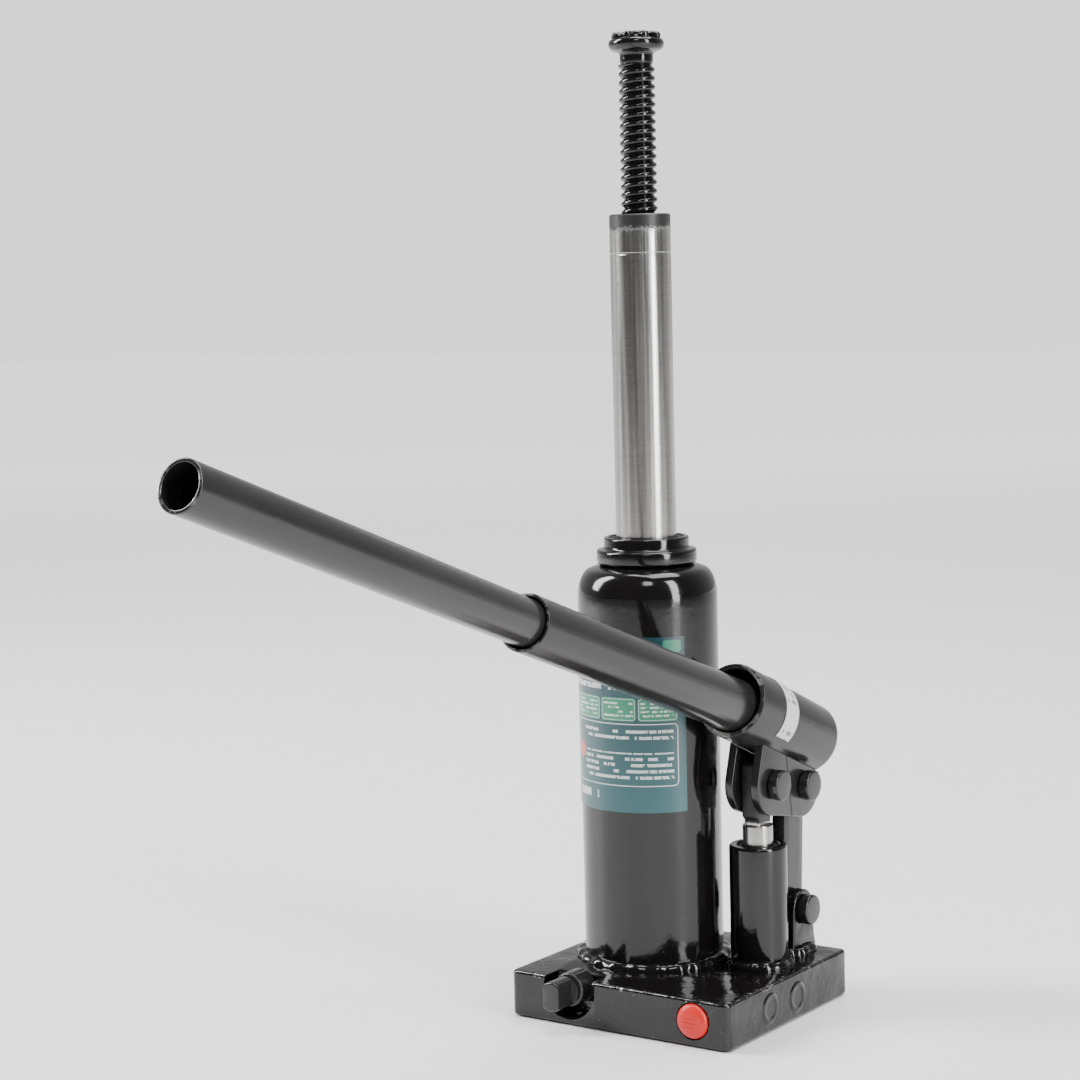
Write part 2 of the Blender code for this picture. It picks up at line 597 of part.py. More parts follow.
def make_valves():
    """Release valve, safety valve under its red cap, check balls and passage plugs."""
    front = -BASE_Y[0]
    place = along_minus_y(RELEASE_X, 0, RELEASE_Z)
    floor = -RELEASE_FLOOR
    stem = [(0, floor + 20.0), (4.2, floor + 20.0), (5.2, floor + 18.8), (5.2, floor + 11.0),
            (4.2, floor + 10.4)]
    stem += [(4.2, floor + 9.6), (5.6, floor + 9.2), (6.0, floor + 8.4), (6.0, floor + 0.5),
            (3.2, floor + 0.5)]
    stem += [(3.2, floor - 3.0), (2.4, floor - 3.2), (2.4, floor - 5.4), (3.2, floor - 5.6),
            (3.2, 27.4), (0, 26.0)]
    valve = turned_solid("release_valve", stem, BLACK_SATIN, place, 24)
    for sign in (-1.0, 1.0):
        side = sorted((sign * 3.3, sign * 7.0))
        flat = block("release_flat_%s" % ("left" if sign < 0 else "right"),
                (RELEASE_X + side[0], -front - 14.0, 0.0),
                (RELEASE_X + side[1], -floor - 11.2, 24.0), None, CUTTERS)
        cut(valve, flat)
    ring("release_o_ring", 3.4, 2.65, floor - 5.2, floor - 3.4, RUBBER, place, SMALL_STEPS)
    make_ball("release_ball", (RELEASE_X, -24.0, RELEASE_Z), 1.6)
    place = along_minus_y(SAFETY_X, 0, SAFETY_Z)
    turned_solid("safety_adjuster", [(0, 40.5), (3.3, 40.5), (3.3, 35.0), (0, 35.0)], STEEL, place,
            SMALL_STEPS)
    make_spring("safety_spring", (SAFETY_X, SAFETY_Z), -34.4, -28.6)
    make_ball("safety_ball", (SAFETY_X, -26.2, SAFETY_Z), 1.9)
    cap = [(0, front + 2.1), (3.4, front + 2.0), (5.3, front + 1.5), (6.1, front + 0.5),
            (6.1, front - 2.2), (4.6, front - 2.2)]
    cap += [(4.6, front - 0.6), (0, front - 0.6)]
    turned_solid("safety_cap", cap, RED_PLASTIC, place, 28)
    for name, (y, z) in zip(("suction", "delivery"), PLUG_PLACES):
        disc = [(0, 0.7), (3.6, 0.7), (4.0, 1.1), (4.8, 1.1), (PLUG_RADIUS, 0.3), (PLUG_RADIUS, -3.6),
                (0, -3.6)]
        turned_solid(name + "_plug", disc, BLACK_GLOSS, along_x(BASE_X[1], y, z), 24)
    make_ball("suction_ball", (30.0, PLUG_PLACES[0][0], PLUG_PLACES[0][1]), 2.0)
    make_ball("delivery_ball", (22.0, PLUG_PLACES[1][0], PLUG_PLACES[1][1]), 2.0)


def make_ball(name, centre, radius):
    mesh = bpy.data.meshes.new(name)
    work = bmesh.new()
    bmesh.ops.create_icosphere(work, subdivisions=2, radius=radius * MM)
    work.to_mesh(mesh)
    work.free()
    add_object(name, mesh, STEEL, PARTS, at(*centre))


def make_spring(name, axis, start, end):
    """Closed-ended coil along Y."""
    curve = bpy.data.curves.new(name, "CURVE")
    curve.dimensions = "3D"
    curve.bevel_depth = 0.4 * MM
    curve.bevel_resolution = 0
    curve.use_fill_caps = True
    spline = curve.splines.new("POLY")
    turns, per_turn = 4, 10
    spline.points.add(turns * per_turn)
    for index, point in enumerate(spline.points):
        angle = 2.0 * math.pi * index / per_turn
        y = start + (end - start) * index / (turns * per_turn)
        point.co = ((axis[0] + 2.2 * math.cos(angle)) * MM, y * MM,
                (axis[1] + 2.2 * math.sin(angle)) * MM, 1.0)
    obj = bpy.data.objects.new(name, curve)
    PARTS.objects.link(obj)
    curve.materials.append(STEEL)


make_base()
make_reservoir()
make_ram()
make_screw()
make_pump()
make_link()
make_socket()
make_handle()
make_valves()
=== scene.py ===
"""Finished looks for a hydraulic bottle jack, built around its packed frame of separate parts."""

import json
import math

import bmesh
import bpy
from bpy.props import FloatProperty, FloatVectorProperty, IntProperty, PointerProperty
from mathutils import Matrix, Vector


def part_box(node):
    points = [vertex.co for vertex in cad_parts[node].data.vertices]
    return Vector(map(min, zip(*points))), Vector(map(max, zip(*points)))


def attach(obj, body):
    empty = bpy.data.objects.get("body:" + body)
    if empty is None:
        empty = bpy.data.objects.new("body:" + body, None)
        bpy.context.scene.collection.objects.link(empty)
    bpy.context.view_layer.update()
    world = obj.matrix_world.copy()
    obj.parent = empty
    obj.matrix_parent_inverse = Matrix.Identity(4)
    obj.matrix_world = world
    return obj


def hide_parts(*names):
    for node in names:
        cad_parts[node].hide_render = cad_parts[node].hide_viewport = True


bl_info = {
    "name": "Bottle Jack",
    "version": (1, 0, 0),
    "blender": (4, 5, 0),
    "location": "View3D > Sidebar > Bottle Jack",
    "description": "Models and finishes the pieces of a hydraulic bottle jack",
    "category": "Add Mesh",
}

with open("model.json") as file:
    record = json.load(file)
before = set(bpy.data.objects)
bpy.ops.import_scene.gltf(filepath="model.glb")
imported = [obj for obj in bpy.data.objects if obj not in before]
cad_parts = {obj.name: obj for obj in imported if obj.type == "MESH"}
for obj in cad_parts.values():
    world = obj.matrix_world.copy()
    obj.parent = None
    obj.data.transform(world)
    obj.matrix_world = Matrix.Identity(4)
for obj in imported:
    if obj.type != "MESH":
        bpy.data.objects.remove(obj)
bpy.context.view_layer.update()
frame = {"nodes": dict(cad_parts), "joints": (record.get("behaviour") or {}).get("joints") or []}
MM = 0.001
TINY = 0.002
MERGE = 0.006
GAP = 0.3
JOINTS = {joint["name"]: joint for joint in frame["joints"]}


def low_mm(node):
    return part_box(node)[0] / MM


def high_mm(node):
    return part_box(node)[1] / MM


def middle_mm(node):
    return (low_mm(node) + high_mm(node)) * 0.5


# Reference places taken from the frame, in millimetres
PUMP = middle_mm("pump_barrel")
PLANE = PUMP.x
FRONT_PIN = middle_mm("plunger_pin")
REAR_PIN = Vector(JOINTS["socket_turn"]["pos_m"]) / MM
FOOT_PIN = Vector(JOINTS["link_swing"]["pos_m"]) / MM
BASE_LOW = low_mm("base_block")
BASE_HIGH = high_mm("base_block")
TANK_FOOT = low_mm("tank_shell").z
BASE_TOP = TANK_FOOT - GAP
TANK_RADIUS = high_mm("tank_shell").x
RAM_TOP = high_mm("ram").z
SADDLE_TOP = high_mm("extension_screw").z
GLAND_TOP = high_mm("gland_cap").z
PUMP_TOP = high_mm("pump_barrel").z
HANDLE_AXIS = Vector(JOINTS["handle_pull"]["axis"])
HANDLE_PITCH = math.asin(HANDLE_AXIS.z)
RELEASE = middle_mm("release_valve")
SAFETY = middle_mm("safety_cap")

# Radii and steps that follow the CAD pieces, in millimetres
RAM_RADIUS = high_mm("ram").x
RAM_BORE = 6.85
SHOULDER = 141.0
TANK_TOP = 158.3
FLANGE = 17.9
COLLAR = 15.2
FLANGE_TOP = 163.8
THREAD_FOOT = 268.0
THREAD_TOP = 333.6
THREAD_CORE = 5.25
NECK = 5.85
HEAD_RADIUS = high_mm("extension_screw").x
HEAD_UNDER = 338.2
HEAD_TOP = 342.9
SCREW_FOOT = low_mm("extension_screw").z
PUMP_RADIUS = high_mm("pump_barrel").x - PLANE
PLUNGER_RADIUS = 5.4
PLUNGER_SHOULDER = 66.3
PIN_RADIUS = 3.0
PIN_HEAD = 5.4
EAR_INNER = 3.6
EAR_OUTER = 6.8
FRONT_LOBE = 11.0
REAR_LOBE = 11.5
LUG_INNER = 3.4
LUG_OUTER = 7.0
LINK_HALF = 2.6
LINK_RADIUS = 7.0
SOCKET_RADIUS = 13.2
SOCKET_EDGE = 0.6
SOCKET_BORE = 11.3
SOCKET_LENGTH = 57.8
SOCKET_WRAP_START = 16.0
SOCKET_WRAP_END = 25.0
THIN_TUBE = (7.65, 6.35, 205.0)
THICK_TUBE = (9.4, 8.3, 159.0, 340.0)
WRAP_RADIUS = 25.12
WRAP_FOOT = low_mm("tank_label").z
WRAP_TOP = high_mm("tank_label").z
WRAP_START = -227.0
WRAP_END = -27.6
PANEL_FOOT = 105.5
PANEL_TOP = 113.6
FRAME_FOOT = 82.5
FRAME_TOP = 104.4
PANELS = ((3.2, 17.2), (18.0, 31.4), (32.2, 47.6))
RECESS_RADIUS = 10.5
RECESS_FLOOR = -35.6
SAFETY_RADIUS = 6.1
SHEET_THICKNESS = 0.2
SHEET_GAP = 0.12
SHEET_RIM = 0.35
BAND_TURN = (-36.0, 124.0)
RAM_LENGTH = 152.0
RAM_SPIGOT = 8.0
RAM_SPIGOT_LENGTH = 6.5
RAM_FLOOR = 10.0
RAM_PAINT_BAND = 6.0
PLUNGER_PAINT_TOP = 68.4
PLUNGER_PAINT_BAND = 1.4
TANK_WALL = 2.0
FILLER_HEIGHT = 122.0
FILLER_TURN = math.radians(118.0)
PUMP_SPIGOT = 8.7
PUMP_FOOT = 6.5
PUMP_BORE = 5.7
PACKING_RADIUS = 7.1
LINK_EYE = 4.7
PIN_HEAD_LENGTH = 3.8
PIN_TAIL = 4.1
WASHER = 1.2
SOCKET_HOLE = 4.0
SOCKET_BACK = 3.0
CORNER = 2.4
RELEASE_REACH = 20.0
RELEASE_FLAT = 3.3
RIB_COUNT = 8
MARK_COUNT = 3
MARK_STEP = 1.5


class JackPaint(bpy.types.PropertyGroup):
    """Colours and gloss of the painted and bare surfaces."""

    gloss_black: FloatVectorProperty(
        name="Gloss black", description="Enamel on the base, reservoir and screw", subtype="COLOR",
        size=3, min=0.0, max=1.0, default=(0.0035, 0.0030, 0.0030))
    satin_black: FloatVectorProperty(
        name="Satin black", description="Enamel on the handle, socket, link and pins", subtype="COLOR",
        size=3, min=0.0, max=1.0, default=(0.0105, 0.0100, 0.0100))
    steel: FloatVectorProperty(
        name="Ground steel", description="Bare ram and plunger", subtype="COLOR",
        size=3, min=0.0, max=1.0, default=(0.52, 0.51, 0.50))
    label_top: FloatVectorProperty(
        name="Label top", description="Dark upper colour of the printed wrap", subtype="COLOR",
        size=3, min=0.0, max=1.0, default=(0.004, 0.034, 0.044))
    label_foot: FloatVectorProperty(
        name="Label foot", description="Lighter lower colour of the printed wrap", subtype="COLOR",
        size=3, min=0.0, max=1.0, default=(0.010, 0.082, 0.094))
    label_panel: FloatVectorProperty(
        name="Label panels", description="Green panels on the printed wrap", subtype="COLOR",
        size=3, min=0.0, max=1.0, default=(0.018, 0.205, 0.115))
    cap_red: FloatVectorProperty(
        name="Cap red", description="Plastic cap over the safety valve", subtype="COLOR",
        size=3, min=0.0, max=1.0, default=(0.66, 0.012, 0.010))
    gloss_roughness: FloatProperty(
        name="Gloss roughness", description="Micro roughness of the gloss enamel", subtype="FACTOR",
        min=0.0, max=1.0, default=0.10)
    satin_roughness: FloatProperty(
        name="Satin roughness", description="Micro roughness of the satin enamel", subtype="FACTOR",
        min=0.0, max=1.0, default=0.21)


class JackSizes(bpy.types.PropertyGroup):
    """Sizes that shape the visible pieces."""

    sides: IntProperty(
        name="Sides", description="Sides of a full-size turned piece", min=24, max=256, default=112)
    thread_pitch: FloatProperty(
        name="Thread pitch", description="Rise of the extension screw in one turn", unit="LENGTH",
        min=0.001, max=0.006, default=0.003)
    thread_crest: FloatProperty(
        name="Thread crest", description="Outer radius of the extension screw's thread", unit="LENGTH",
        min=0.004, max=0.0066, default=0.0064)
    socket_pitch: FloatProperty(
        name="Socket pitch", description="Rise of the handle socket above level", subtype="ANGLE",
        min=0.0, max=1.2, default=math.radians(22.8))


def paint():
    return bpy.context.scene.jack_paint


def sizes():
    return bpy.context.scene.jack_sizes


# ---------------------------------------------------------------- modelling steps


def deselect():
    if bpy.context.mode != "OBJECT":
        bpy.ops.object.mode_set(mode="OBJECT")
    bpy.ops.object.select_all(action="DESELECT")


def activate(obj):
    deselect()
    obj.select_set(True)
    bpy.context.view_layer.objects.active = obj


def edit(obj, select="SELECT"):
    activate(obj)
    bpy.ops.object.mode_set(mode="EDIT")
    bpy.ops.mesh.select_mode(type="VERT")
    bpy.ops.mesh.select_all(action=select)


def leave():
    bpy.ops.object.mode_set(mode="OBJECT")


def soften(profile, reach, closed=False, count=4):
    """Rounds each corner of a profile with a short curve that starts reach mm before it."""
    points = [Vector(point) for point in profile]
    total = len(points)
    result = []
    for index, corner in enumerate(points):
        if not closed and index in (0, total - 1):
            result.append(tuple(corner))
            continue
        before = points[index - 1]
        after = points[(index + 1) % total]
        one = before - corner
        two = after - corner
        limit = min(reach, one.length * 0.45, two.length * 0.45)
        straight = one.length * two.length and abs(one.angle(two) - math.pi) < 0.12
        if limit < 0.02 or straight:
            result.append(tuple(corner))
            continue
        start = corner + one.normalized() * limit
        end = corner + two.normalized() * limit
        for step in range(count + 1):
            t = step / count
            point = start * (1 - t) ** 2 + corner * 2 * t * (1 - t) + end * t ** 2
            result.append(tuple(point))
    return result


def arc(centre, radius, start, end, count):
    """Points of an arc, by angle in degrees."""
    points = []
    for step in range(count + 1):
        angle = math.radians(start + (end - start) * step / count)
        points.append((centre[0] + radius * math.cos(angle), centre[1] + radius * math.sin(angle)))
    return points


def turn_up(name, profile, sides=None, closed=False):
    """Turned piece about Z: a circle, extruded and scaled along (radius, height) points in mm."""
    sides = sides or sizes().sides
    points = [(max(radius, TINY), height) for radius, height in profile]
    if closed:
        points.append(points[0])
    deselect()
    bpy.ops.mesh.primitive_circle_add(vertices=sides, radius=points[0][0] * MM,
                                      location=(0, 0, points[0][1] * MM))
    obj = bpy.context.object
    obj.name = name
    obj.data.name = name
    bpy.ops.object.transform_apply(location=True, rotation=True, scale=True)
    bpy.ops.object.mode_set(mode="EDIT")
    bpy.ops.mesh.select_all(action="SELECT")
    for (radius, height), (next_radius, next_height) in zip(points, points[1:]):
        rise = (next_height - height) * MM
        bpy.ops.mesh.extrude_region_move(TRANSFORM_OT_translate={"value": (0.0, 0.0, rise)})
        ratio = next_radius / radius
        if abs(ratio - 1.0) > 1e-6:
            bpy.ops.transform.resize(value=(ratio, ratio, 1.0), center_override=(0.0, 0.0, next_height * MM))
    bpy.ops.mesh.select_all(action="SELECT")
    bpy.ops.mesh.remove_doubles(threshold=MERGE * MM)
    bpy.ops.mesh.normals_make_consistent(inside=False)
    leave()
    return obj


def place(obj, matrix):
    """Puts a finished piece in its place, with the place in its mesh."""
    obj.matrix_world = matrix
    activate(obj)
    bpy.ops.object.transform_apply(location=True, rotation=True, scale=True)
    return obj


def at(x, y, z, turn=0.0, axis="X"):
    return Matrix.Translation(Vector((x, y, z)) * MM) @ Matrix.Rotation(turn, 4, axis)


def along_x(x, y, z):
    return at(x, y, z, math.pi / 2, "Y")


def along_front(x, y, z):
    return at(x, y, z, math.pi / 2, "X")


def tube_end(node, radius, pitch):
    """Centre of a raised tube's outer end, from the tube's box."""
    return Vector((PLANE, low_mm(node).y + radius * math.sin(pitch),
                   high_mm(node).z - radius * math.cos(pitch)))


def up_tube(end, pitch):
    """Local +Z runs out along the tube and local +X points to the near side."""
    return at(end.x, end.y, end.z, math.pi / 2 - pitch, "X")


def flat_plate(name, outline, x_low, x_high, edge=0.35):
    """Flat plate across X: a filled circle drawn out to a (y, z) outline, extruded and bevelled."""
    deselect()
    bpy.ops.mesh.primitive_circle_add(vertices=len(outline), radius=MM, fill_type="NGON")
    obj = bpy.context.object
    obj.name = name
    obj.data.name = name
    for vertex, (y, z) in zip(obj.data.vertices, outline):
        vertex.co = (x_low * MM, y * MM, z * MM)
    edit(obj)
    bpy.ops.mesh.extrude_region_move(TRANSFORM_OT_translate={"value": ((x_high - x_low) * MM, 0.0, 0.0)})
    bpy.ops.mesh.select_all(action="SELECT")
    bpy.ops.mesh.normals_make_consistent(inside=False)
    leave()
    if edge:
        round_edges(obj, edge)
    return obj


def round_edges(obj, width, segments=3, angle=50.0):
    modifier = obj.modifiers.new("Edges", "BEVEL")
    modifier.width = width * MM
    modifier.segments = segments
    modifier.limit_method = "ANGLE"
    modifier.angle_limit = math.radians(angle)
    modifier.harden_normals = False
    activate(obj)
    bpy.ops.object.modifier_apply(modifier=modifier.name)


def box_piece(name, low, high, edge=0.0):
    """Block between two corners in mm."""
    size = [(b - a) * MM for a, b in zip(low, high)]
    middle = [(a + b) * 0.5 * MM for a, b in zip(low, high)]
    deselect()
    bpy.ops.mesh.primitive_cube_add(size=1.0, location=middle, scale=size)
    obj = bpy.context.object
    obj.name = name
    obj.data.name = name
    bpy.ops.object.transform_apply(location=True, rotation=True, scale=True)
    if edge:
        round_edges(obj, edge)
    return obj


def boolean(obj, other, operation):
    """Applies a Boolean with another piece, which is used up."""
    modifier = obj.modifiers.new(operation.title(), "BOOLEAN")
    modifier.operation = operation
    modifier.solver = "EXACT"
    modifier.object = other
    activate(obj)
    bpy.ops.object.modifier_apply(modifier=modifier.name)
    bpy.data.objects.remove(other, do_unlink=True)


def join_in(obj, *others):
    """Joins loose pieces into one object."""
    activate(obj)
    for other in others:
        other.select_set(True)
    bpy.context.view_layer.objects.active = obj
    bpy.ops.object.join()
    return obj


def smooth(obj, angle=38.0):
    activate(obj)
    bpy.ops.object.shade_smooth_by_angle(angle=math.radians(angle))


def finish_piece(obj, material, body, slot, *nodes, angle=38.0):
    """Shading, finish, body, record slot and the CAD nodes that the piece stands for."""
    smooth(obj, angle)
    obj.data.materials.clear()
    obj.data.materials.append(material)
    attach(obj, body)
    if nodes:
        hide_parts(*nodes)
    return obj


def round_bar(name, radius, low, high, matrix=None, sides=48, edge=0.3):
    """Plain round bar with softened ends."""
    profile = soften([(0, high), (radius, high), (radius, low), (0, low)], edge) if edge else [
        (0, high), (radius, high), (radius, low), (0, low)]
    obj = turn_up(name, profile, sides)
    return place(obj, matrix) if matrix else obj


# ---------------------------------------------------------------- finishes


class Graph:
    """Small helper that lays out one material's or group's nodes."""

    def __init__(self, tree):
        self.tree = tree

    def node(self, kind, inputs=None, **settings):
        node = self.tree.nodes.new(kind)
        for name, value in settings.items():
            setattr(node, name, value)
        for key, value in (inputs or {}).items():
            self.feed(node, key, value)
        return node

    def feed(self, node, key, value):
        if isinstance(value, bpy.types.NodeSocket):
            self.tree.links.new(value, node.inputs[key])
        else:
            node.inputs[key].default_value = value

    def math(self, operation, one, two=0.0, three=0.0, clamp=False):
        node = self.node("ShaderNodeMath", {0: one, 1: two, 2: three}, operation=operation, use_clamp=clamp)
        return node.outputs[0]

    def add(self, one, two, clamp=False):
        return self.math("ADD", one, two, clamp=clamp)

    def take(self, one, two):
        return self.math("SUBTRACT", one, two)

    def times(self, one, two):
        return self.math("MULTIPLY", one, two)

    def here(self):
        return self.node("ShaderNodeTexCoord").outputs["Object"]

    def noise(self, vector, scale, detail=2.0, roughness=0.5):
        node = self.node("ShaderNodeTexNoise", {"Vector": vector, "Scale": scale, "Detail": detail,
                                                "Roughness": roughness})
        return node.outputs["Fac"]

    def span(self, value, low, high, start=0.0, end=1.0):
        node = self.node("ShaderNodeMapRange", {"Value": value, "From Min": low, "From Max": high,
                                                "To Min": start, "To Max": end})
        return node.outputs["Result"]

    def mix(self, factor, one, two):
        node = self.node("ShaderNodeMix", data_type="RGBA")
        self.feed(node, 0, factor)
        self.feed(node, 6, one)
        self.feed(node, 7, two)
        return node.outputs[2]

    def stretch(self, vector, scale):
        return self.node("ShaderNodeMapping", {"Vector": vector, "Scale": scale}).outputs["Vector"]

    def bump(self, height, strength, distance, normal=None):
        node = self.node("ShaderNodeBump", {"Height": height, "Strength": strength, "Distance": distance})
        if normal is not None:
            self.feed(node, "Normal", normal)
        return node.outputs["Normal"]


def colour4(colour):
    return (colour[0], colour[1], colour[2], 1.0)


def new_group(name, inputs, outputs):
    tree = bpy.data.node_groups.new(name, "ShaderNodeTree")
    for label, kind in inputs:
        tree.interface.new_socket(name=label, in_out="INPUT", socket_type=kind)
    for label, kind in outputs:
        tree.interface.new_socket(name=label, in_out="OUTPUT", socket_type=kind)
    graph = Graph(tree)
    return tree, graph, graph.node("NodeGroupInput"), graph.node("NodeGroupOutput")


def once(maker):
    """Keeps what a maker returned for the same words, so that pieces share it."""
    made = {}

    def reuse(*words):
        key = str(words)
        if key not in made:
            made[key] = maker(*words)
        return made[key]

    reuse.__doc__ = maker.__doc__
    return reuse


@once
def enamel_group():
    """Sprayed enamel: orange peel, slow waves, fine dust nibs and faint tone changes."""
    inputs = [("Peel Scale", "NodeSocketFloat"), ("Dust", "NodeSocketFloat")]
    outputs = [("Height", "NodeSocketFloat"), ("Dust Mask", "NodeSocketFloat"), ("Tone", "NodeSocketFloat")]
    tree, graph, source, sink = new_group("sprayed_enamel", inputs, outputs)
    place_vector = graph.here()
    peel = graph.noise(place_vector, source.outputs["Peel Scale"], 2.0, 0.5)
    slow = graph.noise(place_vector, 55.0, 3.0, 0.55)
    specks = graph.noise(place_vector, 1700.0, 1.0, 0.4)
    patches = graph.noise(place_vector, 90.0, 2.0, 0.6)
    nibs = graph.times(graph.span(specks, 0.70, 0.78), graph.span(patches, 0.50, 0.66))
    dust = graph.times(nibs, source.outputs["Dust"])
    height = graph.add(graph.times(peel, 0.35), slow)
    height = graph.add(height, graph.times(dust, 0.4))
    graph.feed(sink, "Height", height)
    graph.feed(sink, "Dust Mask", dust)
    graph.feed(sink, "Tone", graph.noise(place_vector, 24.0, 2.0, 0.5))
    return tree


@once
def grinding_group():
    """Fine grinding marks round a shaft, with faint wipe marks along it."""
    outputs = [("Lines", "NodeSocketFloat"), ("Wipes", "NodeSocketFloat")]
    tree, graph, _, sink = new_group("ground_steel_marks", [], outputs)
    place_vector = graph.here()
    lines = graph.noise(graph.stretch(place_vector, (40.0, 40.0, 5200.0)), 1.0, 3.0, 0.6)
    wipes = graph.noise(graph.stretch(place_vector, (620.0, 620.0, 9.0)), 1.0, 3.0, 0.6)
    graph.feed(sink, "Lines", lines)
    graph.feed(sink, "Wipes", wipes)
    return tree


@once
def dash_group():
    """Rows of short printed strokes that stand for small print, inside a box on a flat (u, v) field."""
    inputs = [(label, "NodeSocketFloat") for label in
              ("U", "V", "Left", "Right", "Foot", "Top", "Row Height", "Stroke Scale", "Cover")]
    tree, graph, source, sink = new_group("printed_strokes", inputs, [("Mask", "NodeSocketFloat")])
    get = source.outputs
    inside = graph.times(graph.math("GREATER_THAN", get["U"], get["Left"]),
                        graph.math("LESS_THAN", get["U"], get["Right"]))
    level = graph.times(graph.math("GREATER_THAN", get["V"], get["Foot"]),
                       graph.math("LESS_THAN", get["V"], get["Top"]))
    rows = graph.math("DIVIDE", graph.take(get["V"], get["Foot"]), get["Row Height"])
    row = graph.math("FLOOR", rows)
    across = graph.math("FRACT", rows)
    ink = graph.times(graph.math("GREATER_THAN", across, 0.30), graph.math("LESS_THAN", across, 0.78))
    letters = graph.node("ShaderNodeCombineXYZ", {
        "X": graph.times(get["U"], get["Stroke Scale"]),
        "Y": graph.times(row, 7.31), "Z": graph.times(across, 0.9)}).outputs[0]
    words = graph.node("ShaderNodeCombineXYZ", {
        "X": graph.times(graph.times(get["U"], get["Stroke Scale"]), 0.16),
        "Y": graph.times(row, 3.77), "Z": 4.0}).outputs[0]
    strokes = graph.math("GREATER_THAN", graph.noise(letters, 1.0, 0.0), graph.take(1.0, get["Cover"]))
    gaps = graph.math("GREATER_THAN", graph.noise(words, 1.0, 0.0), 0.40)
    mask = graph.times(graph.times(inside, level), ink)
    graph.feed(sink, "Mask", graph.times(mask, graph.times(strokes, gaps)))
    return tree


@once
def panel_group():
    """Signed distance to a rounded box on a flat (u, v) field, in mm: negative inside."""
    inputs = [(label, "NodeSocketFloat") for label in ("U", "V", "Left", "Right", "Foot", "Top", "Radius")]
    tree, graph, source, sink = new_group("rounded_panel", inputs, [("Distance", "NodeSocketFloat")])
    get = source.outputs
    offsets = []
    for value, low, high in (("U", "Left", "Right"), ("V", "Foot", "Top")):
        middle = graph.times(graph.add(get[low], get[high]), 0.5)
        half = graph.times(graph.take(get[high], get[low]), 0.5)
        away = graph.math("ABSOLUTE", graph.take(get[value], middle))
        offsets.append(graph.add(graph.take(away, half), get["Radius"]))
    outer = [graph.math("MAXIMUM", offset, 0.0) for offset in offsets]
    length = graph.math("SQRT",
                        graph.add(graph.math("POWER", outer[0], 2.0), graph.math("POWER", outer[1], 2.0)))
    inner = graph.math("MINIMUM", graph.math("MAXIMUM", offsets[0], offsets[1]), 0.0)
    graph.feed(sink, "Distance", graph.take(graph.add(length, inner), get["Radius"]))
    return tree


def new_finish(name, colour, roughness, metallic=0.0):
    """A material with its Principled shader, ready for its pattern."""
    material = bpy.data.materials.new(name)
    material.use_nodes = True
    shader = material.node_tree.nodes["Principled BSDF"]
    shader.inputs["Base Color"].default_value = colour4(colour)
    shader.inputs["Roughness"].default_value = roughness
    shader.inputs["Metallic"].default_value = metallic
    return material, Graph(material.node_tree), shader


def place_group(graph, tree, inputs=None):
    node = graph.node("ShaderNodeGroup")
    node.node_tree = tree
    for key, value in (inputs or {}).items():
        graph.feed(node, key, value)
    return node


def enamel(name, colour, roughness, peel, strength, dust, tone=0.5):
    """Black enamel with its peel, waves, dust nibs and slight tone changes."""
    material, graph, shader = new_finish(name, colour, roughness)
    coat = place_group(graph, enamel_group(), {"Peel Scale": peel, "Dust": dust})
    lighter = tuple(min(1.0, c * 2.0 + 0.002) for c in colour)
    base = graph.mix(graph.times(coat.outputs["Tone"], tone), colour4(colour), colour4(lighter))
    base = graph.mix(coat.outputs["Dust Mask"], base, (0.32, 0.32, 0.31, 1.0))
    graph.feed(shader, "Base Color", base)
    rough = graph.span(coat.outputs["Tone"], 0.3, 0.7, roughness * 0.85, roughness * 1.2)
    rough = graph.add(rough, graph.times(coat.outputs["Dust Mask"], 0.4), clamp=True)
    graph.feed(shader, "Roughness", rough)
    graph.feed(shader, "Normal", graph.bump(coat.outputs["Height"], strength, 0.0004))
    return material


@once
def gloss_enamel():
    return enamel("gloss_black_enamel", paint().gloss_black, paint().gloss_roughness, 520.0, 0.20, 0.22)


@once
def welded_enamel():
    """Gloss enamel that has run over a weld: the same coat with deeper waves."""
    material = enamel("gloss_black_over_weld", paint().gloss_black, paint().gloss_roughness, 300.0, 0.3, 0.3)
    graph = Graph(material.node_tree)
    vector = graph.here()
    lumps = graph.noise(vector, 150.0, 2.0, 0.5)
    shader = material.node_tree.nodes["Principled BSDF"]
    old = shader.inputs["Normal"].links[0].from_socket
    graph.feed(shader, "Normal", graph.bump(lumps, 0.5, 0.0010, old))
    return material


@once
def satin_enamel():
    return enamel("satin_black_enamel", paint().satin_black, paint().satin_roughness, 700.0, 0.22, 0.2, 0.7)


def rim_wear_and_highlight_enamel(name, end, axis, reach):
    """Satin enamel that is rubbed through to steel round a tube's outer end."""
    material = enamel(name, paint().satin_black, paint().satin_roughness, 700.0, 0.16, 0.15, 0.7)
    graph = Graph(material.node_tree)
    shader = material.node_tree.nodes["Principled BSDF"]
    vector = graph.here()
    offset = graph.node("ShaderNodeVectorMath", {0: vector, 1: tuple(end * MM)},
                        operation="SUBTRACT").outputs[0]
    run = graph.node("ShaderNodeVectorMath", {0: offset, 1: tuple(axis)},
                     operation="DOT_PRODUCT").outputs["Value"]
    ragged = graph.noise(vector, 230.0, 3.0, 0.5)
    depth = graph.add(graph.math("DIVIDE", run, reach * MM), graph.times(graph.take(ragged, 0.5), 3.0))
    wear_and_highlight = graph.span(depth, 0.0, 0.35)
    old = shader.inputs["Base Color"].links[0].from_socket
    # rim colour: rubbed-through steel, and also a painted highlight round the tube's end
    graph.feed(shader, "Base Color", graph.mix(wear_and_highlight, old, (0.30, 0.29, 0.28, 1.0)))
    graph.feed(shader, "Metallic", graph.times(wear_and_highlight, 0.8))
    return material


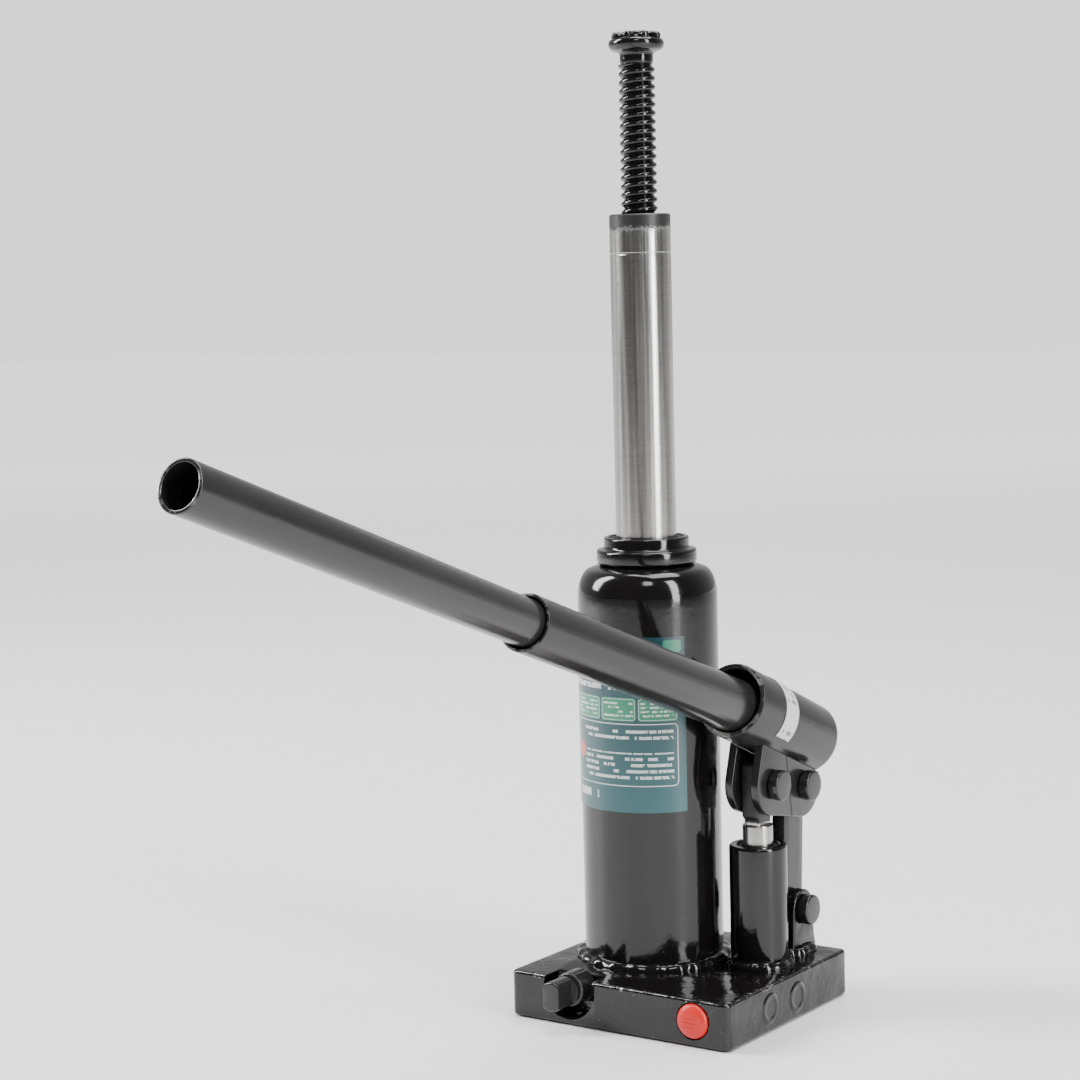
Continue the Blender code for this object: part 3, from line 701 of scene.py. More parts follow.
def ground_steel(name="ground_steel", roughness=0.20):
    """Ground and polished shaft steel."""
    material, graph, shader = new_finish(name, paint().steel, roughness, 1.0)
    marks = place_group(graph, grinding_group())
    dark = tuple(c * 0.62 for c in paint().steel)
    tone = graph.add(graph.times(marks.outputs["Wipes"], 0.6), graph.times(marks.outputs["Lines"], 0.4))
    base = graph.mix(graph.span(tone, 0.35, 0.62), colour4(dark), colour4(paint().steel))
    graph.feed(shader, "Base Color", base)
    graph.feed(shader, "Roughness",
               graph.span(marks.outputs["Wipes"], 0.3, 0.7, roughness * 0.8, roughness * 1.5))
    graph.feed(shader, "Normal", graph.bump(marks.outputs["Lines"], 0.10, 0.00004))
    return material


def oversprayed_steel(name, top, band):
    """Ground steel whose end carries black overspray with a speckled edge."""
    material = ground_steel(name)
    graph = Graph(material.node_tree)
    shader = material.node_tree.nodes["Principled BSDF"]
    vector = graph.here()
    height = graph.node("ShaderNodeSeparateXYZ", {0: vector}).outputs["Z"]
    depth = graph.math("DIVIDE", graph.take(height, (top - band) * MM), band * MM)
    speckle = graph.noise(vector, 1500.0, 3.0, 0.7)
    drift = graph.noise(vector, 140.0, 2.0, 0.5)
    value = graph.add(depth, graph.times(graph.take(speckle, 0.5), 0.9))
    value = graph.add(value, graph.times(graph.take(drift, 0.5), 0.7))
    mask = graph.span(value, -0.05, 0.25)
    old = shader.inputs["Base Color"].links[0].from_socket
    graph.feed(shader, "Base Color", graph.mix(mask, old, colour4((0.012, 0.012, 0.012))))
    graph.feed(shader, "Metallic", graph.take(1.0, mask))
    rough = shader.inputs["Roughness"].links[0].from_socket
    graph.feed(shader, "Roughness", graph.add(rough, graph.times(mask, 0.18)))
    return material


@once
def dark_steel():
    """Oiled, phosphated steel for washers and split pins."""
    material, graph, shader = new_finish("oiled_dark_steel", (0.16, 0.155, 0.15), 0.38, 1.0)
    vector = graph.here()
    grain = graph.noise(vector, 1200.0, 4.0, 0.7)
    graph.feed(shader, "Base Color",
               graph.mix(graph.span(grain, 0.35, 0.65), (0.10, 0.096, 0.09, 1.0), (0.26, 0.25, 0.24, 1.0)))
    graph.feed(shader, "Roughness", graph.span(grain, 0.3, 0.7, 0.28, 0.5))
    graph.feed(shader, "Normal", graph.bump(grain, 0.15, 0.0001))
    return material


@once
def bright_steel():
    material, graph, shader = new_finish("bright_steel", (0.55, 0.54, 0.53), 0.25, 1.0)
    vector = graph.here()
    grain = graph.noise(vector, 2200.0, 3.0, 0.6)
    graph.feed(shader, "Roughness", graph.span(grain, 0.3, 0.7, 0.18, 0.34))
    graph.feed(shader, "Base Color", graph.mix(grain, (0.42, 0.41, 0.40, 1.0), (0.66, 0.65, 0.64, 1.0)))
    return material


@once
def rubber():
    """Matt black seal rubber."""
    material, graph, shader = new_finish("seal_rubber", (0.016, 0.016, 0.016), 0.68)
    vector = graph.here()
    grain = graph.noise(vector, 1600.0, 3.0, 0.6)
    graph.feed(shader, "Base Color", graph.mix(grain, (0.011, 0.011, 0.011, 1.0), (0.028, 0.028, 0.027, 1.0)))
    graph.feed(shader, "Roughness", graph.span(grain, 0.3, 0.7, 0.58, 0.78))
    graph.feed(shader, "Normal", graph.bump(grain, 0.2, 0.0001))
    return material


@once
def red_plastic():
    """Moulded red cap with a faint grain."""
    material, graph, shader = new_finish("red_moulded_plastic", paint().cap_red, 0.34)
    shader.inputs["Specular IOR Level"].default_value = 0.45
    vector = graph.here()
    grain = graph.noise(vector, 1900.0, 2.0, 0.5)
    slow = graph.noise(vector, 160.0, 2.0, 0.5)
    red = paint().cap_red
    graph.feed(shader, "Base Color",
               graph.mix(graph.span(slow, 0.3, 0.7), colour4(tuple(c * 0.82 for c in red)), colour4(red)))
    graph.feed(shader, "Roughness", graph.span(slow, 0.3, 0.7, 0.28, 0.42))
    graph.feed(shader, "Normal", graph.bump(grain, 0.12, 0.0001))
    return material


def printed_wrap():
    """Printed wrap: a dark to light field, three panels over a framed box, and rows of small strokes."""
    material, graph, shader = new_finish("printed_wrap", paint().label_top, 0.30)
    shader.inputs["Coat Weight"].default_value = 0.35
    shader.inputs["Coat Roughness"].default_value = 0.12
    vector = graph.here()
    split = graph.node("ShaderNodeSeparateXYZ", {0: vector})
    angle = graph.math("ARCTAN2", split.outputs["Y"], split.outputs["X"])
    # u runs round the wrap in mm from its near edge, and v is the height in mm
    turn = graph.take(math.radians(WRAP_END), angle)
    turn = graph.math("MODULO", graph.add(turn, 4 * math.pi), 2 * math.pi)
    u = graph.times(turn, WRAP_RADIUS)
    v = graph.math("DIVIDE", split.outputs["Z"], MM)
    base = graph.mix(graph.span(v, WRAP_FOOT, WRAP_TOP), colour4(paint().label_foot),
                     colour4(paint().label_top))
    white = (0.62, 0.66, 0.64, 1.0)

    def panel(left, right, foot, top, radius):
        node = place_group(graph, panel_group(), {"U": u, "V": v, "Left": left, "Right": right, "Foot": foot,
                                                  "Top": top, "Radius": radius})
        return node.outputs["Distance"]

    def strokes(left, right, foot, top, row, scale, cover):
        node = place_group(graph, dash_group(), {
            "U": u, "V": v, "Left": left, "Right": right, "Foot": foot, "Top": top,
            "Row Height": row, "Stroke Scale": scale, "Cover": cover})
        return node.outputs["Mask"]

    for left, right in PANELS:
        distance = panel(left, right, PANEL_FOOT, PANEL_TOP, 1.2)
        base = graph.mix(graph.span(distance, 0.12, -0.02), base, colour4(paint().label_panel))
        ring = graph.math("LESS_THAN", graph.math("ABSOLUTE", graph.take(distance, -0.35)), 0.10)
        base = graph.mix(graph.times(ring, 0.8), base, white)
        print_mask = strokes(left + 1.0, right - 1.0, PANEL_FOOT + 1.1, PANEL_TOP - 1.0, 1.45, 1.25, 0.60)
        base = graph.mix(graph.times(print_mask, 0.85), base, white)
    frame_left, frame_right = PANELS[0][0], PANELS[-1][1]
    frame_box = panel(frame_left, frame_right, FRAME_FOOT, FRAME_TOP, 1.6)
    outline = graph.math("LESS_THAN", graph.math("ABSOLUTE", frame_box), 0.17)
    base = graph.mix(graph.times(outline, 0.9), base, white)
    text_right = frame_right - 6.4
    for foot, top in ((FRAME_TOP - 6.0, FRAME_TOP - 1.6), (FRAME_FOOT + 1.8, FRAME_FOOT + 11.8)):
        rows = strokes(frame_left + 1.6, text_right, foot, top, 2.2, 1.15, 0.66)
        base = graph.mix(graph.times(rows, 0.85), base, white)
    heading = strokes(frame_left + 8.0, frame_right, PANEL_TOP + 1.6, PANEL_TOP + 5.6, 3.9, 0.75, 0.66)
    base = graph.mix(graph.times(heading, 0.8), base, white)
    foot_marks = strokes(frame_right - 14.0, frame_right - 1.0, WRAP_FOOT + 2.6, WRAP_FOOT + 8.4, 5.8, 0.62,
                         0.68)
    base = graph.mix(graph.times(foot_marks, 0.85), base, white)
    for foot, top in ((WRAP_FOOT + 6.0, WRAP_FOOT + 28.0), (WRAP_FOOT + 34.0, WRAP_FOOT + 41.0)):
        rear = strokes(frame_right + 5.0, frame_right + 33.0, foot, top, 2.3, 1.1, 0.62)
        base = graph.mix(graph.times(rear, 0.75), base, white)
    badge = panel(1.5, 8.0, WRAP_TOP - 5.4, WRAP_TOP - 1.2, 0.9)
    base = graph.mix(graph.span(badge, 0.12, -0.02), base, colour4(paint().label_panel))
    disc_u, disc_v = PANELS[-1][1] - 3.2, FRAME_FOOT + 11.0
    across = graph.take(u, disc_u)
    rise = graph.take(v, disc_v)
    span = graph.math("SQRT", graph.add(graph.math("POWER", across, 2.0), graph.math("POWER", rise, 2.0)))
    base = graph.mix(graph.span(span, 2.9, 2.75), base, (0.62, 0.050, 0.018, 1.0))
    graph.feed(shader, "Base Color", base)
    coat = place_group(graph, enamel_group(), {"Peel Scale": 700.0, "Dust": 0.5})
    graph.feed(shader, "Roughness", graph.span(coat.outputs["Tone"], 0.3, 0.7, 0.25, 0.38))
    graph.feed(shader, "Normal", graph.bump(coat.outputs["Height"], 0.10, 0.0002))
    return material


def socket_wrap():
    """White printed band on the handle socket, with rows of small strokes."""
    material, graph, shader = new_finish("socket_wrap", (0.60, 0.60, 0.59), 0.36)
    vector = graph.here()
    run = axis_run(graph, vector, socket_mouth(), socket_axis())
    round_x = graph.node("ShaderNodeSeparateXYZ", {0: vector}).outputs["X"]
    u = graph.math("DIVIDE", round_x, MM)
    v = graph.math("DIVIDE", run, MM)
    marks = place_group(graph, dash_group(), {
        "U": v, "V": u, "Left": -SOCKET_WRAP_END + 1.2, "Right": -SOCKET_WRAP_START - 1.2,
        "Foot": PLANE - 2.0,
        "Top": PLANE + 12.6, "Row Height": 1.5, "Stroke Scale": 1.5, "Cover": 0.60})
    grain = graph.noise(vector, 700.0, 3.0, 0.6)
    base = graph.mix(graph.span(grain, 0.3, 0.7), (0.50, 0.50, 0.49, 1.0), (0.66, 0.66, 0.65, 1.0))
    base = graph.mix(graph.times(marks.outputs["Mask"], 0.8), base, (0.10, 0.10, 0.10, 1.0))
    graph.feed(shader, "Base Color", base)
    graph.feed(shader, "Roughness", graph.span(grain, 0.3, 0.7, 0.30, 0.45))
    return material


def axis_run(graph, vector, end, axis):
    """Distance of a point past a tube's outer end, along the tube."""
    offset = graph.node("ShaderNodeVectorMath", {0: vector, 1: tuple(end * MM)},
                        operation="SUBTRACT").outputs[0]
    node = graph.node("ShaderNodeVectorMath", {0: offset, 1: tuple(axis)}, operation="DOT_PRODUCT")
    return node.outputs["Value"]


def socket_axis():
    pitch = sizes().socket_pitch
    return Vector((0.0, -math.cos(pitch), math.sin(pitch)))


def socket_mouth():
    """Centre of the socket's open end, from its box and its bevelled edge, in mm."""
    pitch = sizes().socket_pitch
    end = tube_end("socket_tube", SOCKET_RADIUS - SOCKET_EDGE, pitch)
    end.z += SOCKET_EDGE * (math.sin(pitch) - math.cos(pitch))
    return end


# ---------------------------------------------------------------- casting, reservoir and welds


def base_outline(step=3.0):
    """Outline of the block with rounded corners, in short steps, as (x, y) in mm."""
    left, right = BASE_LOW.x + CORNER, BASE_HIGH.x - CORNER
    front, back = BASE_LOW.y + CORNER, BASE_HIGH.y - CORNER
    points = []
    for index, centre in enumerate(((right, back), (left, back), (left, front), (right, front))):
        points += arc(centre, CORNER, 90.0 * index, 90.0 * (index + 1), 6)
    dense = []
    for one, two in zip(points, points[1:] + points[:1]):
        length = math.dist(one, two)
        count = max(1, round(length / step))
        for index in range(count):
            share = index / count
            dense.append((one[0] + (two[0] - one[0]) * share, one[1] + (two[1] - one[1]) * share))
    return dense


def lug_outline():
    """Outline of a link lug, from its round eye down into the block, as (y, z) in mm."""
    y, z = FOOT_PIN.y, FOOT_PIN.z
    points = arc((y, z), LINK_RADIUS, 0.0, 180.0, 24)
    points += [(y - LINK_RADIUS - 0.4, BASE_TOP + 5.0), (y - LINK_RADIUS - 0.7, BASE_TOP + 2.0)]
    points += [(y - LINK_RADIUS - 1.3, BASE_TOP - 2.0), (y + LINK_RADIUS + 2.4, BASE_TOP - 2.0)]
    points += [(y + LINK_RADIUS + 1.6, BASE_TOP + 2.0), (y + LINK_RADIUS + 0.6, BASE_TOP + 5.0)]
    return points


def cutter(steps, far, matrix, sides=64):
    """Stepped round cutter: (radius, depth) steps from the open end at far down along local Z."""
    profile = [(0, far), (steps[0][0], far)]
    for (radius, depth), (next_radius, _) in zip(steps, steps[1:]):
        profile += [(radius, depth), (next_radius, depth)]
    profile += [(steps[-1][0], steps[-1][1]), (0, steps[-1][1])]
    return place(turn_up("cutter", profile, sides), matrix)


def build_casting():
    """Rounded cast block with two lugs, the machined pockets and the valve recesses."""
    outline = base_outline()
    deselect()
    bpy.ops.mesh.primitive_circle_add(vertices=len(outline), radius=MM, fill_type="NGON")
    obj = bpy.context.object
    obj.name = "casting"
    obj.data.name = "casting"
    for vertex, (x, y) in zip(obj.data.vertices, outline):
        vertex.co = (x * MM, y * MM, 0.0)
    edit(obj)
    bpy.ops.mesh.extrude_region_move(TRANSFORM_OT_translate={"value": (0.0, 0.0, BASE_TOP * MM)})
    bpy.ops.mesh.select_all(action="SELECT")
    bpy.ops.mesh.normals_make_consistent(inside=False)
    leave()
    round_edges(obj, 1.1, 5)
    for sign in (1.0, -1.0):
        ends = sorted((PLANE + sign * LUG_INNER, PLANE + sign * LUG_OUTER))
        boolean(obj, flat_plate("lug", lug_outline(), *ends, 0.5), "UNION")
    boolean(obj, cutter([(RECESS_RADIUS, -RECESS_FLOOR), (3.8, 24.0)], 60.0,
                        along_front(RELEASE.x, 0, RELEASE.z), 96), "DIFFERENCE")
    boolean(obj, cutter([(6.5, -BASE_LOW.y - 3.0)], 60.0, along_front(SAFETY.x, 0, SAFETY.z), 64),
            "DIFFERENCE")
    boolean(obj, cutter([(PIN_RADIUS + GAP, -12.0)], 12.0, along_x(PLANE, FOOT_PIN.y, FOOT_PIN.z), 48),
            "DIFFERENCE")
    boolean(obj, cutter([(9.0, 6.2)], 30.0, at(PLANE, PUMP.y, 0), 64), "DIFFERENCE")
    boolean(obj, cutter([(15.8, 8.3)], 30.0, at(0, 0, 0), 64), "DIFFERENCE")
    round_edges(obj, 0.35, 2, 60.0)
    return finish_piece(obj, cast_enamel(), "frame", "black_gloss", "base_block", angle=42.0)


def weld_bead(name, radius, reach, rise, foot, lumps, seed, matrix=None):
    """Rounded weld bead round a tube's foot, with overlapping lumps left by the weld pool."""
    profile = [(radius - 0.5, foot - 0.4), (radius + reach, foot - 0.4), (radius + reach, foot)]
    profile += [(radius + reach * math.cos(t), foot + rise * math.sin(t)) for t in
                [math.radians(angle) for angle in range(10, 90, 10)]]
    profile += [(radius - 0.5, foot + rise)]
    obj = turn_up(name, profile, 200, closed=True)
    height = rise * MM
    for vertex in obj.data.vertices:
        angle = math.atan2(vertex.co.y, vertex.co.x)
        wave = abs(math.sin(angle * lumps / 2 + 0.4 * math.sin(3 * angle + seed)))
        drift = 0.5 + 0.5 * math.sin(2 * angle + seed)
        share = min(1.0, max(0.0, (vertex.co.z - foot * MM) / height))
        ring = math.hypot(vertex.co.x, vertex.co.y)
        outward = max(0.0, ring - radius * MM) / (reach * MM)
        swell = 0.80 + 0.22 * wave ** 2 + 0.26 * drift
        new_ring = radius * MM + (ring - radius * MM) * (swell if ring > radius * MM else 1.0)
        vertex.co.x *= new_ring / ring
        vertex.co.y *= new_ring / ring
        vertex.co.z += height * share * (swell - 1.0) * (0.5 + 0.5 * outward)
    if matrix:
        place(obj, matrix)
    return obj


def build_welds():
    tank = weld_bead("reservoir_weld", TANK_RADIUS, 2.7, 2.7, BASE_TOP + 0.1, 22, 1.3)
    finish_piece(tank, welded_enamel(), "frame", "black_gloss", "tank_weld_bead", angle=60.0)
    pump = weld_bead("pump_weld", PUMP_RADIUS, 2.0, 2.3, BASE_TOP + 0.1, 12, 4.1, at(PLANE, PUMP.y, 0))
    finish_piece(pump, welded_enamel(), "frame", "black_gloss", "pump_weld_bead", angle=60.0)
    stretch = Matrix.Diagonal((0.93, 1.08, 1.0, 1.0))
    lugs = weld_bead("lug_weld", 8.4, 2.4, 2.6, BASE_TOP + 0.1, 11, 2.2,
                     at(PLANE, FOOT_PIN.y + 0.4, 0) @ stretch)
    finish_piece(lugs, welded_enamel(), "frame", "black_gloss", angle=60.0)


def build_reservoir():
    """Drawn shell with its rounded shoulder, the gland, the wiper and the filler plug."""
    inner = TANK_RADIUS - TANK_WALL
    profile = [(15.6, TANK_TOP), (16.9, TANK_TOP - 0.05), (18.6, 157.7)]
    profile += [(19.6 + 5.4 * math.sin(math.radians(a)), 147.0 + 10.2 * math.cos(math.radians(a)))
                for a in range(15, 90, 7)]
    profile += [(TANK_RADIUS, SHOULDER + 3.0), (TANK_RADIUS, 120.0), (TANK_RADIUS, 90.0), (TANK_RADIUS, 50.0)]
    profile += [(TANK_RADIUS, TANK_FOOT), (inner, TANK_FOOT), (inner, SHOULDER), (21.8, 148.5), (19.4, 153.2)]
    profile += [(15.6, 155.2)]
    shell = turn_up("reservoir", profile, 144, closed=True)
    side = Matrix.Rotation(FILLER_TURN, 4, "Z") @ along_x(0, 0, FILLER_HEIGHT)
    boolean(shell, cutter([(4.3, 15.0)], 32.0, side, 48), "DIFFERENCE")
    finish_piece(shell, gloss_enamel(), "frame", "black_gloss", "tank_shell")
    gland = soften([(13.4, GLAND_TOP), (COLLAR, GLAND_TOP), (COLLAR, FLANGE_TOP), (FLANGE, FLANGE_TOP),
                    (FLANGE, TANK_TOP + GAP), (COLLAR, TANK_TOP + GAP), (COLLAR, 150.3),
                    (RAM_RADIUS + GAP, 150.3), (RAM_RADIUS + GAP, 164.2), (13.4, 164.2)], 1.3, closed=True)
    finish_piece(turn_up("gland", gland, 128, closed=True), gloss_enamel(), "frame", "black_gloss",
                 "gland_cap")
    wiper = soften([(13.1, 167.6), (13.1, 164.5), (RAM_RADIUS + 0.2, 164.5), (RAM_RADIUS + 0.2, 166.8),
                    (RAM_RADIUS + 0.9, 167.6)], 0.4, closed=True)
    finish_piece(turn_up("wiper", wiper, 96, closed=True), rubber(), "frame", "black_rubber", "ram_wiper")
    plug = soften([(0, 27.6), (3.8, 27.6), (5.2, 26.9), (5.6, 25.9), (5.6, 25.3), (4.0, 25.3), (4.0, 21.5),
                   (0, 21.5)], 0.5)
    filler = place(turn_up("filler_plug", plug, 64), side)
    finish_piece(filler, rubber(), "frame", "black_rubber", "oil_filler_plug")


def wrap_sheet(name, radius, turn, heights, steps):
    """Thin curved sheet about Z between two heights and two angles: an edge spun round, then thickened."""
    start, end = turn
    low, high = heights
    deselect()
    bpy.ops.mesh.primitive_plane_add(size=1.0)
    obj = bpy.context.object
    obj.name = name
    obj.data.name = name
    edit(obj)
    bpy.ops.mesh.delete(type="ONLY_FACE")
    leave()
    work = bmesh.new()
    rows = [low, low + SHEET_RIM, (low + high) / 2, high - SHEET_RIM, high]
    points = [work.verts.new((radius * MM * math.cos(math.radians(start)),
                              radius * MM * math.sin(math.radians(start)), z * MM)) for z in rows]
    for one, two in zip(points, points[1:]):
        work.edges.new((one, two))
    work.to_mesh(obj.data)
    work.free()
    edit(obj)
    bpy.ops.mesh.spin(steps=steps, angle=math.radians(end - start), center=(0, 0, 0), axis=(0, 0, -1))
    bpy.ops.mesh.select_all(action="SELECT")
    bpy.ops.mesh.remove_doubles(threshold=MERGE * MM)
    bpy.ops.mesh.normals_make_consistent(inside=False)
    leave()
    flip_outward(obj)
    modifier = obj.modifiers.new("Thickness", "SOLIDIFY")
    modifier.thickness = SHEET_THICKNESS * MM
    modifier.offset = 1.0
    activate(obj)
    bpy.ops.object.modifier_apply(modifier=modifier.name)
    return obj


def flip_outward(obj):
    """Turns an open sheet's faces away from Z."""
    face = obj.data.polygons[0]
    if face.normal.dot(Vector((face.center.x, face.center.y, 0.0))) < 0:
        edit(obj)
        bpy.ops.mesh.flip_normals()
        leave()


def build_wrap():
    sheet = wrap_sheet("reservoir_wrap", WRAP_RADIUS, (WRAP_START, WRAP_END), (WRAP_FOOT, WRAP_TOP), 150)
    return finish_piece(sheet, printed_wrap(), "frame", "teal_label", "tank_label")


# ---------------------------------------------------------------- ram, screw and pump


def build_ram():
    """Ground ram with the black overspray that the painted screw left round its top."""
    foot = RAM_TOP - RAM_LENGTH
    groove = RAM_RADIUS - 0.12
    spigot = foot + RAM_SPIGOT_LENGTH
    profile = [(RAM_BORE + 0.6, RAM_TOP), (RAM_RADIUS - 0.5, RAM_TOP), (RAM_RADIUS, RAM_TOP - 0.5)]
    profile += [(RAM_RADIUS, RAM_TOP - 13.4), (groove, RAM_TOP - 13.6), (groove, RAM_TOP - 14.1)]
    profile += [(RAM_RADIUS, RAM_TOP - 14.3), (RAM_RADIUS, spigot), (RAM_SPIGOT, spigot),
                (RAM_SPIGOT, foot), (0, foot)]
    profile += [(0, foot + RAM_FLOOR), (RAM_BORE, foot + RAM_FLOOR), (RAM_BORE, RAM_TOP - 0.6)]
    ram = turn_up("ram_shaft", profile, 144, closed=True)
    finish = oversprayed_steel("ram_steel", RAM_TOP, RAM_PAINT_BAND)
    return finish_piece(ram, finish, "ram", "polished_steel", "ram", angle=20.0)


def thread(name, low, high, pitch, core, crest, sides=72):
    """Right-hand rounded thread: one wave of the outline, screwed up turn by turn and trimmed flat."""
    turns = int((high - low) / pitch) + 3
    start = low - pitch
    deselect()
    bpy.ops.mesh.primitive_plane_add(size=1.0)
    obj = bpy.context.object
    obj.name = name
    work = bmesh.new()
    points = []
    for step in range(9):
        share = step / 8
        wave = 0.5 - 0.5 * math.cos(2 * math.pi * share)
        radius = core + (crest - core) * min(1.0, 1.25 * wave) ** 0.8
        points.append(work.verts.new((radius * MM, 0.0, (start + pitch * share) * MM)))
    for one, two in zip(points, points[1:]):
        work.edges.new((one, two))
    work.to_mesh(obj.data)
    work.free()
    modifier = obj.modifiers.new("Turns", "SCREW")
    modifier.axis = "Z"
    modifier.screw_offset = pitch * MM
    modifier.iterations = turns
    modifier.steps = sides
    modifier.render_steps = sides
    modifier.use_merge_vertices = False
    activate(obj)
    bpy.ops.object.modifier_apply(modifier=modifier.name)
    edit(obj)
    bpy.ops.mesh.remove_doubles(threshold=0.05 * MM)
    for height, inner, outer in ((high, False, True), (low, True, False)):
        bpy.ops.mesh.select_all(action="SELECT")
        bpy.ops.mesh.bisect(plane_co=(0.0, 0.0, height * MM), plane_no=(0.0, 0.0, 1.0), use_fill=True,
                            clear_inner=inner, clear_outer=outer)
    bpy.ops.mesh.select_all(action="SELECT")
    bpy.ops.mesh.normals_make_consistent(inside=False)
    leave()
    return obj


def build_screw():
    """Extension screw: rounded rolled thread, plain neck and a ribbed pressed head."""
    pitch = sizes().thread_pitch / MM
    crest = sizes().thread_crest / MM
    screw = thread("lifting_screw", THREAD_FOOT - 4.0, THREAD_TOP, pitch, THREAD_CORE, crest)
    tail = turn_up("tail", soften([(0, THREAD_FOOT), (5.0, THREAD_FOOT), (4.0, THREAD_FOOT - 4.5),
                                   (4.0, SCREW_FOOT), (0, SCREW_FOOT)], 0.5), 48)
    head = [(0, HEAD_TOP - 0.2), (7.0, HEAD_TOP)]
    head += [(9.2, HEAD_TOP - 0.6), (HEAD_RADIUS, HEAD_TOP - 1.7), (HEAD_RADIUS - 0.1, HEAD_TOP - 2.8)]
    head += [(9.1, HEAD_UNDER + 0.6), (7.8, HEAD_UNDER), (NECK + 0.5, HEAD_UNDER - 0.4),
             (NECK, HEAD_UNDER - 1.2)]
    head += [(NECK, THREAD_TOP + 1.0), (THREAD_CORE + 0.1, THREAD_TOP - 0.5),
             (THREAD_CORE - 1.0, THREAD_TOP - 0.5)]
    head += [(0, THREAD_TOP - 0.5)]
    cap = turn_up("head", soften(head, 0.8), 112)
    disc = turn_up("disc", soften([(0, SADDLE_TOP), (5.0, SADDLE_TOP), (5.6, SADDLE_TOP - 1.2),
                                   (6.2, SADDLE_TOP - 3.0), (0, SADDLE_TOP - 3.0)], 0.6), 96)
    ribs = []
    for index in range(RIB_COUNT):
        rib = turn_up("rib", soften([(0, 9.1), (1.2, 8.9), (1.62, 7.6), (1.62, 3.0), (0, 3.0)], 0.7), 20)
        turn = Matrix.Rotation(math.radians(10.0 + 360.0 / RIB_COUNT * index), 4, "Z")
        ribs.append(place(rib, turn @ along_x(0, 0, SADDLE_TOP - 1.75)))
    for part in [disc] + ribs:
        boolean(cap, part, "UNION")
    round_edges(cap, 0.25, 2, 35.0)
    join_in(screw, tail, cap)
    return finish_piece(screw, gloss_enamel(), "screw", "black_gloss", "extension_screw", angle=50.0)


def build_pump():
    """Pump barrel, packing, and the plunger with its flat slotted eye."""
    barrel = soften([(7.4, PUMP_TOP), (PUMP_RADIUS, PUMP_TOP), (PUMP_RADIUS, 40.0),
                     (PUMP_RADIUS, BASE_TOP + GAP), (PUMP_SPIGOT, BASE_TOP + GAP), (PUMP_SPIGOT, PUMP_FOOT),
                     (1.4, PUMP_FOOT), (1.4, 9.5), (PUMP_BORE, 9.5), (PUMP_BORE, 50.0), (7.4, 50.0)],
                    1.0, closed=True)
    obj = place(turn_up("pump_body", barrel, 112, closed=True), at(PLANE, PUMP.y, 0))
    finish_piece(obj, gloss_enamel(), "frame", "black_gloss", "pump_barrel")
    packing = soften([(PACKING_RADIUS, PUMP_TOP - 0.6), (PACKING_RADIUS, 50.3), (5.6, 50.3),
                      (5.6, PUMP_TOP - 1.2),
                      (6.0, PUMP_TOP - 0.6)], 0.3, closed=True)
    ring = place(turn_up("pump_wiper", packing, 80, closed=True), at(PLANE, PUMP.y, 0))
    finish_piece(ring, rubber(), "frame", "black_rubber", "pump_packing")
    stem = [(0, PLUNGER_SHOULDER), (PLUNGER_RADIUS, PLUNGER_SHOULDER), (PLUNGER_RADIUS, 24.5), (4.0, 24.5),
            (4.0, 21.0), (PLUNGER_RADIUS, 21.0), (PLUNGER_RADIUS, 20.0), (0, 20.0)]
    plunger = place(turn_up("plunger_rod", soften(stem, 0.5), 96), at(PLANE, PUMP.y, 0))
    y, z = FRONT_PIN.y, FRONT_PIN.z
    root = PLUNGER_SHOULDER + 1.8
    crown = [(y + 4.0, PLUNGER_SHOULDER - 3.0), (y + 4.0, root), (y + 6.9, root + 2.6), (y + 6.9, z + 5.6)]
    crown += arc((y, z), 9.0, 40.0, 125.0, 20)
    crown += [(y - 5.5, z + 6.4), (y - 5.5, root + 1.6), (y - 4.0, root), (y - 4.0, PLUNGER_SHOULDER - 3.0)]
    boolean(plunger, flat_plate("tongue", crown, PLANE - 3.15, PLANE + 3.15, 0.5), "UNION")
    slot = arc((y, z), PIN_RADIUS + 0.5, 90.0, 270.0, 16) + arc((y + 1.7, z), PIN_RADIUS + 0.5, -90.0, 90.0,
                                                                16)
    boolean(plunger, flat_plate("slot", slot, PLANE - 8.0, PLANE + 8.0, 0.0), "DIFFERENCE")
    finish = oversprayed_steel("plunger_steel", PLUNGER_PAINT_TOP, PLUNGER_PAINT_BAND)
    finish_piece(plunger, finish, "plunger", "polished_steel", "pump_plunger")


# ---------------------------------------------------------------- linkage and handle


def build_link():
    foot, top = (FOOT_PIN.y, FOOT_PIN.z), (REAR_PIN.y, REAR_PIN.z)
    outline = arc(foot, LINK_RADIUS, 180.0, 360.0, 28)
    outline += [(top[0] + LINK_RADIUS - 0.4, top[1] - 9.0), (top[0] + 5.6, top[1] - 4.6)]
    outline += [(top[0] + LINK_EYE, top[1] - 1.5)]
    outline += arc(top, LINK_EYE, 0.0, 180.0, 24)
    outline += [(top[0] - LINK_EYE, top[1] - 1.5), (top[0] - 5.6, top[1] - 4.6)]
    outline += [(top[0] - LINK_RADIUS, top[1] - 9.0)]
    link = flat_plate("link", outline, PLANE - LINK_HALF, PLANE + LINK_HALF, 0.5)
    for y, z in (foot, top):
        boolean(link, cutter([(PIN_RADIUS + GAP, -12.0)], 12.0, along_x(PLANE, y, z), 48), "DIFFERENCE")
    return finish_piece(link, satin_enamel(), "link", "black_satin", "link_bar")


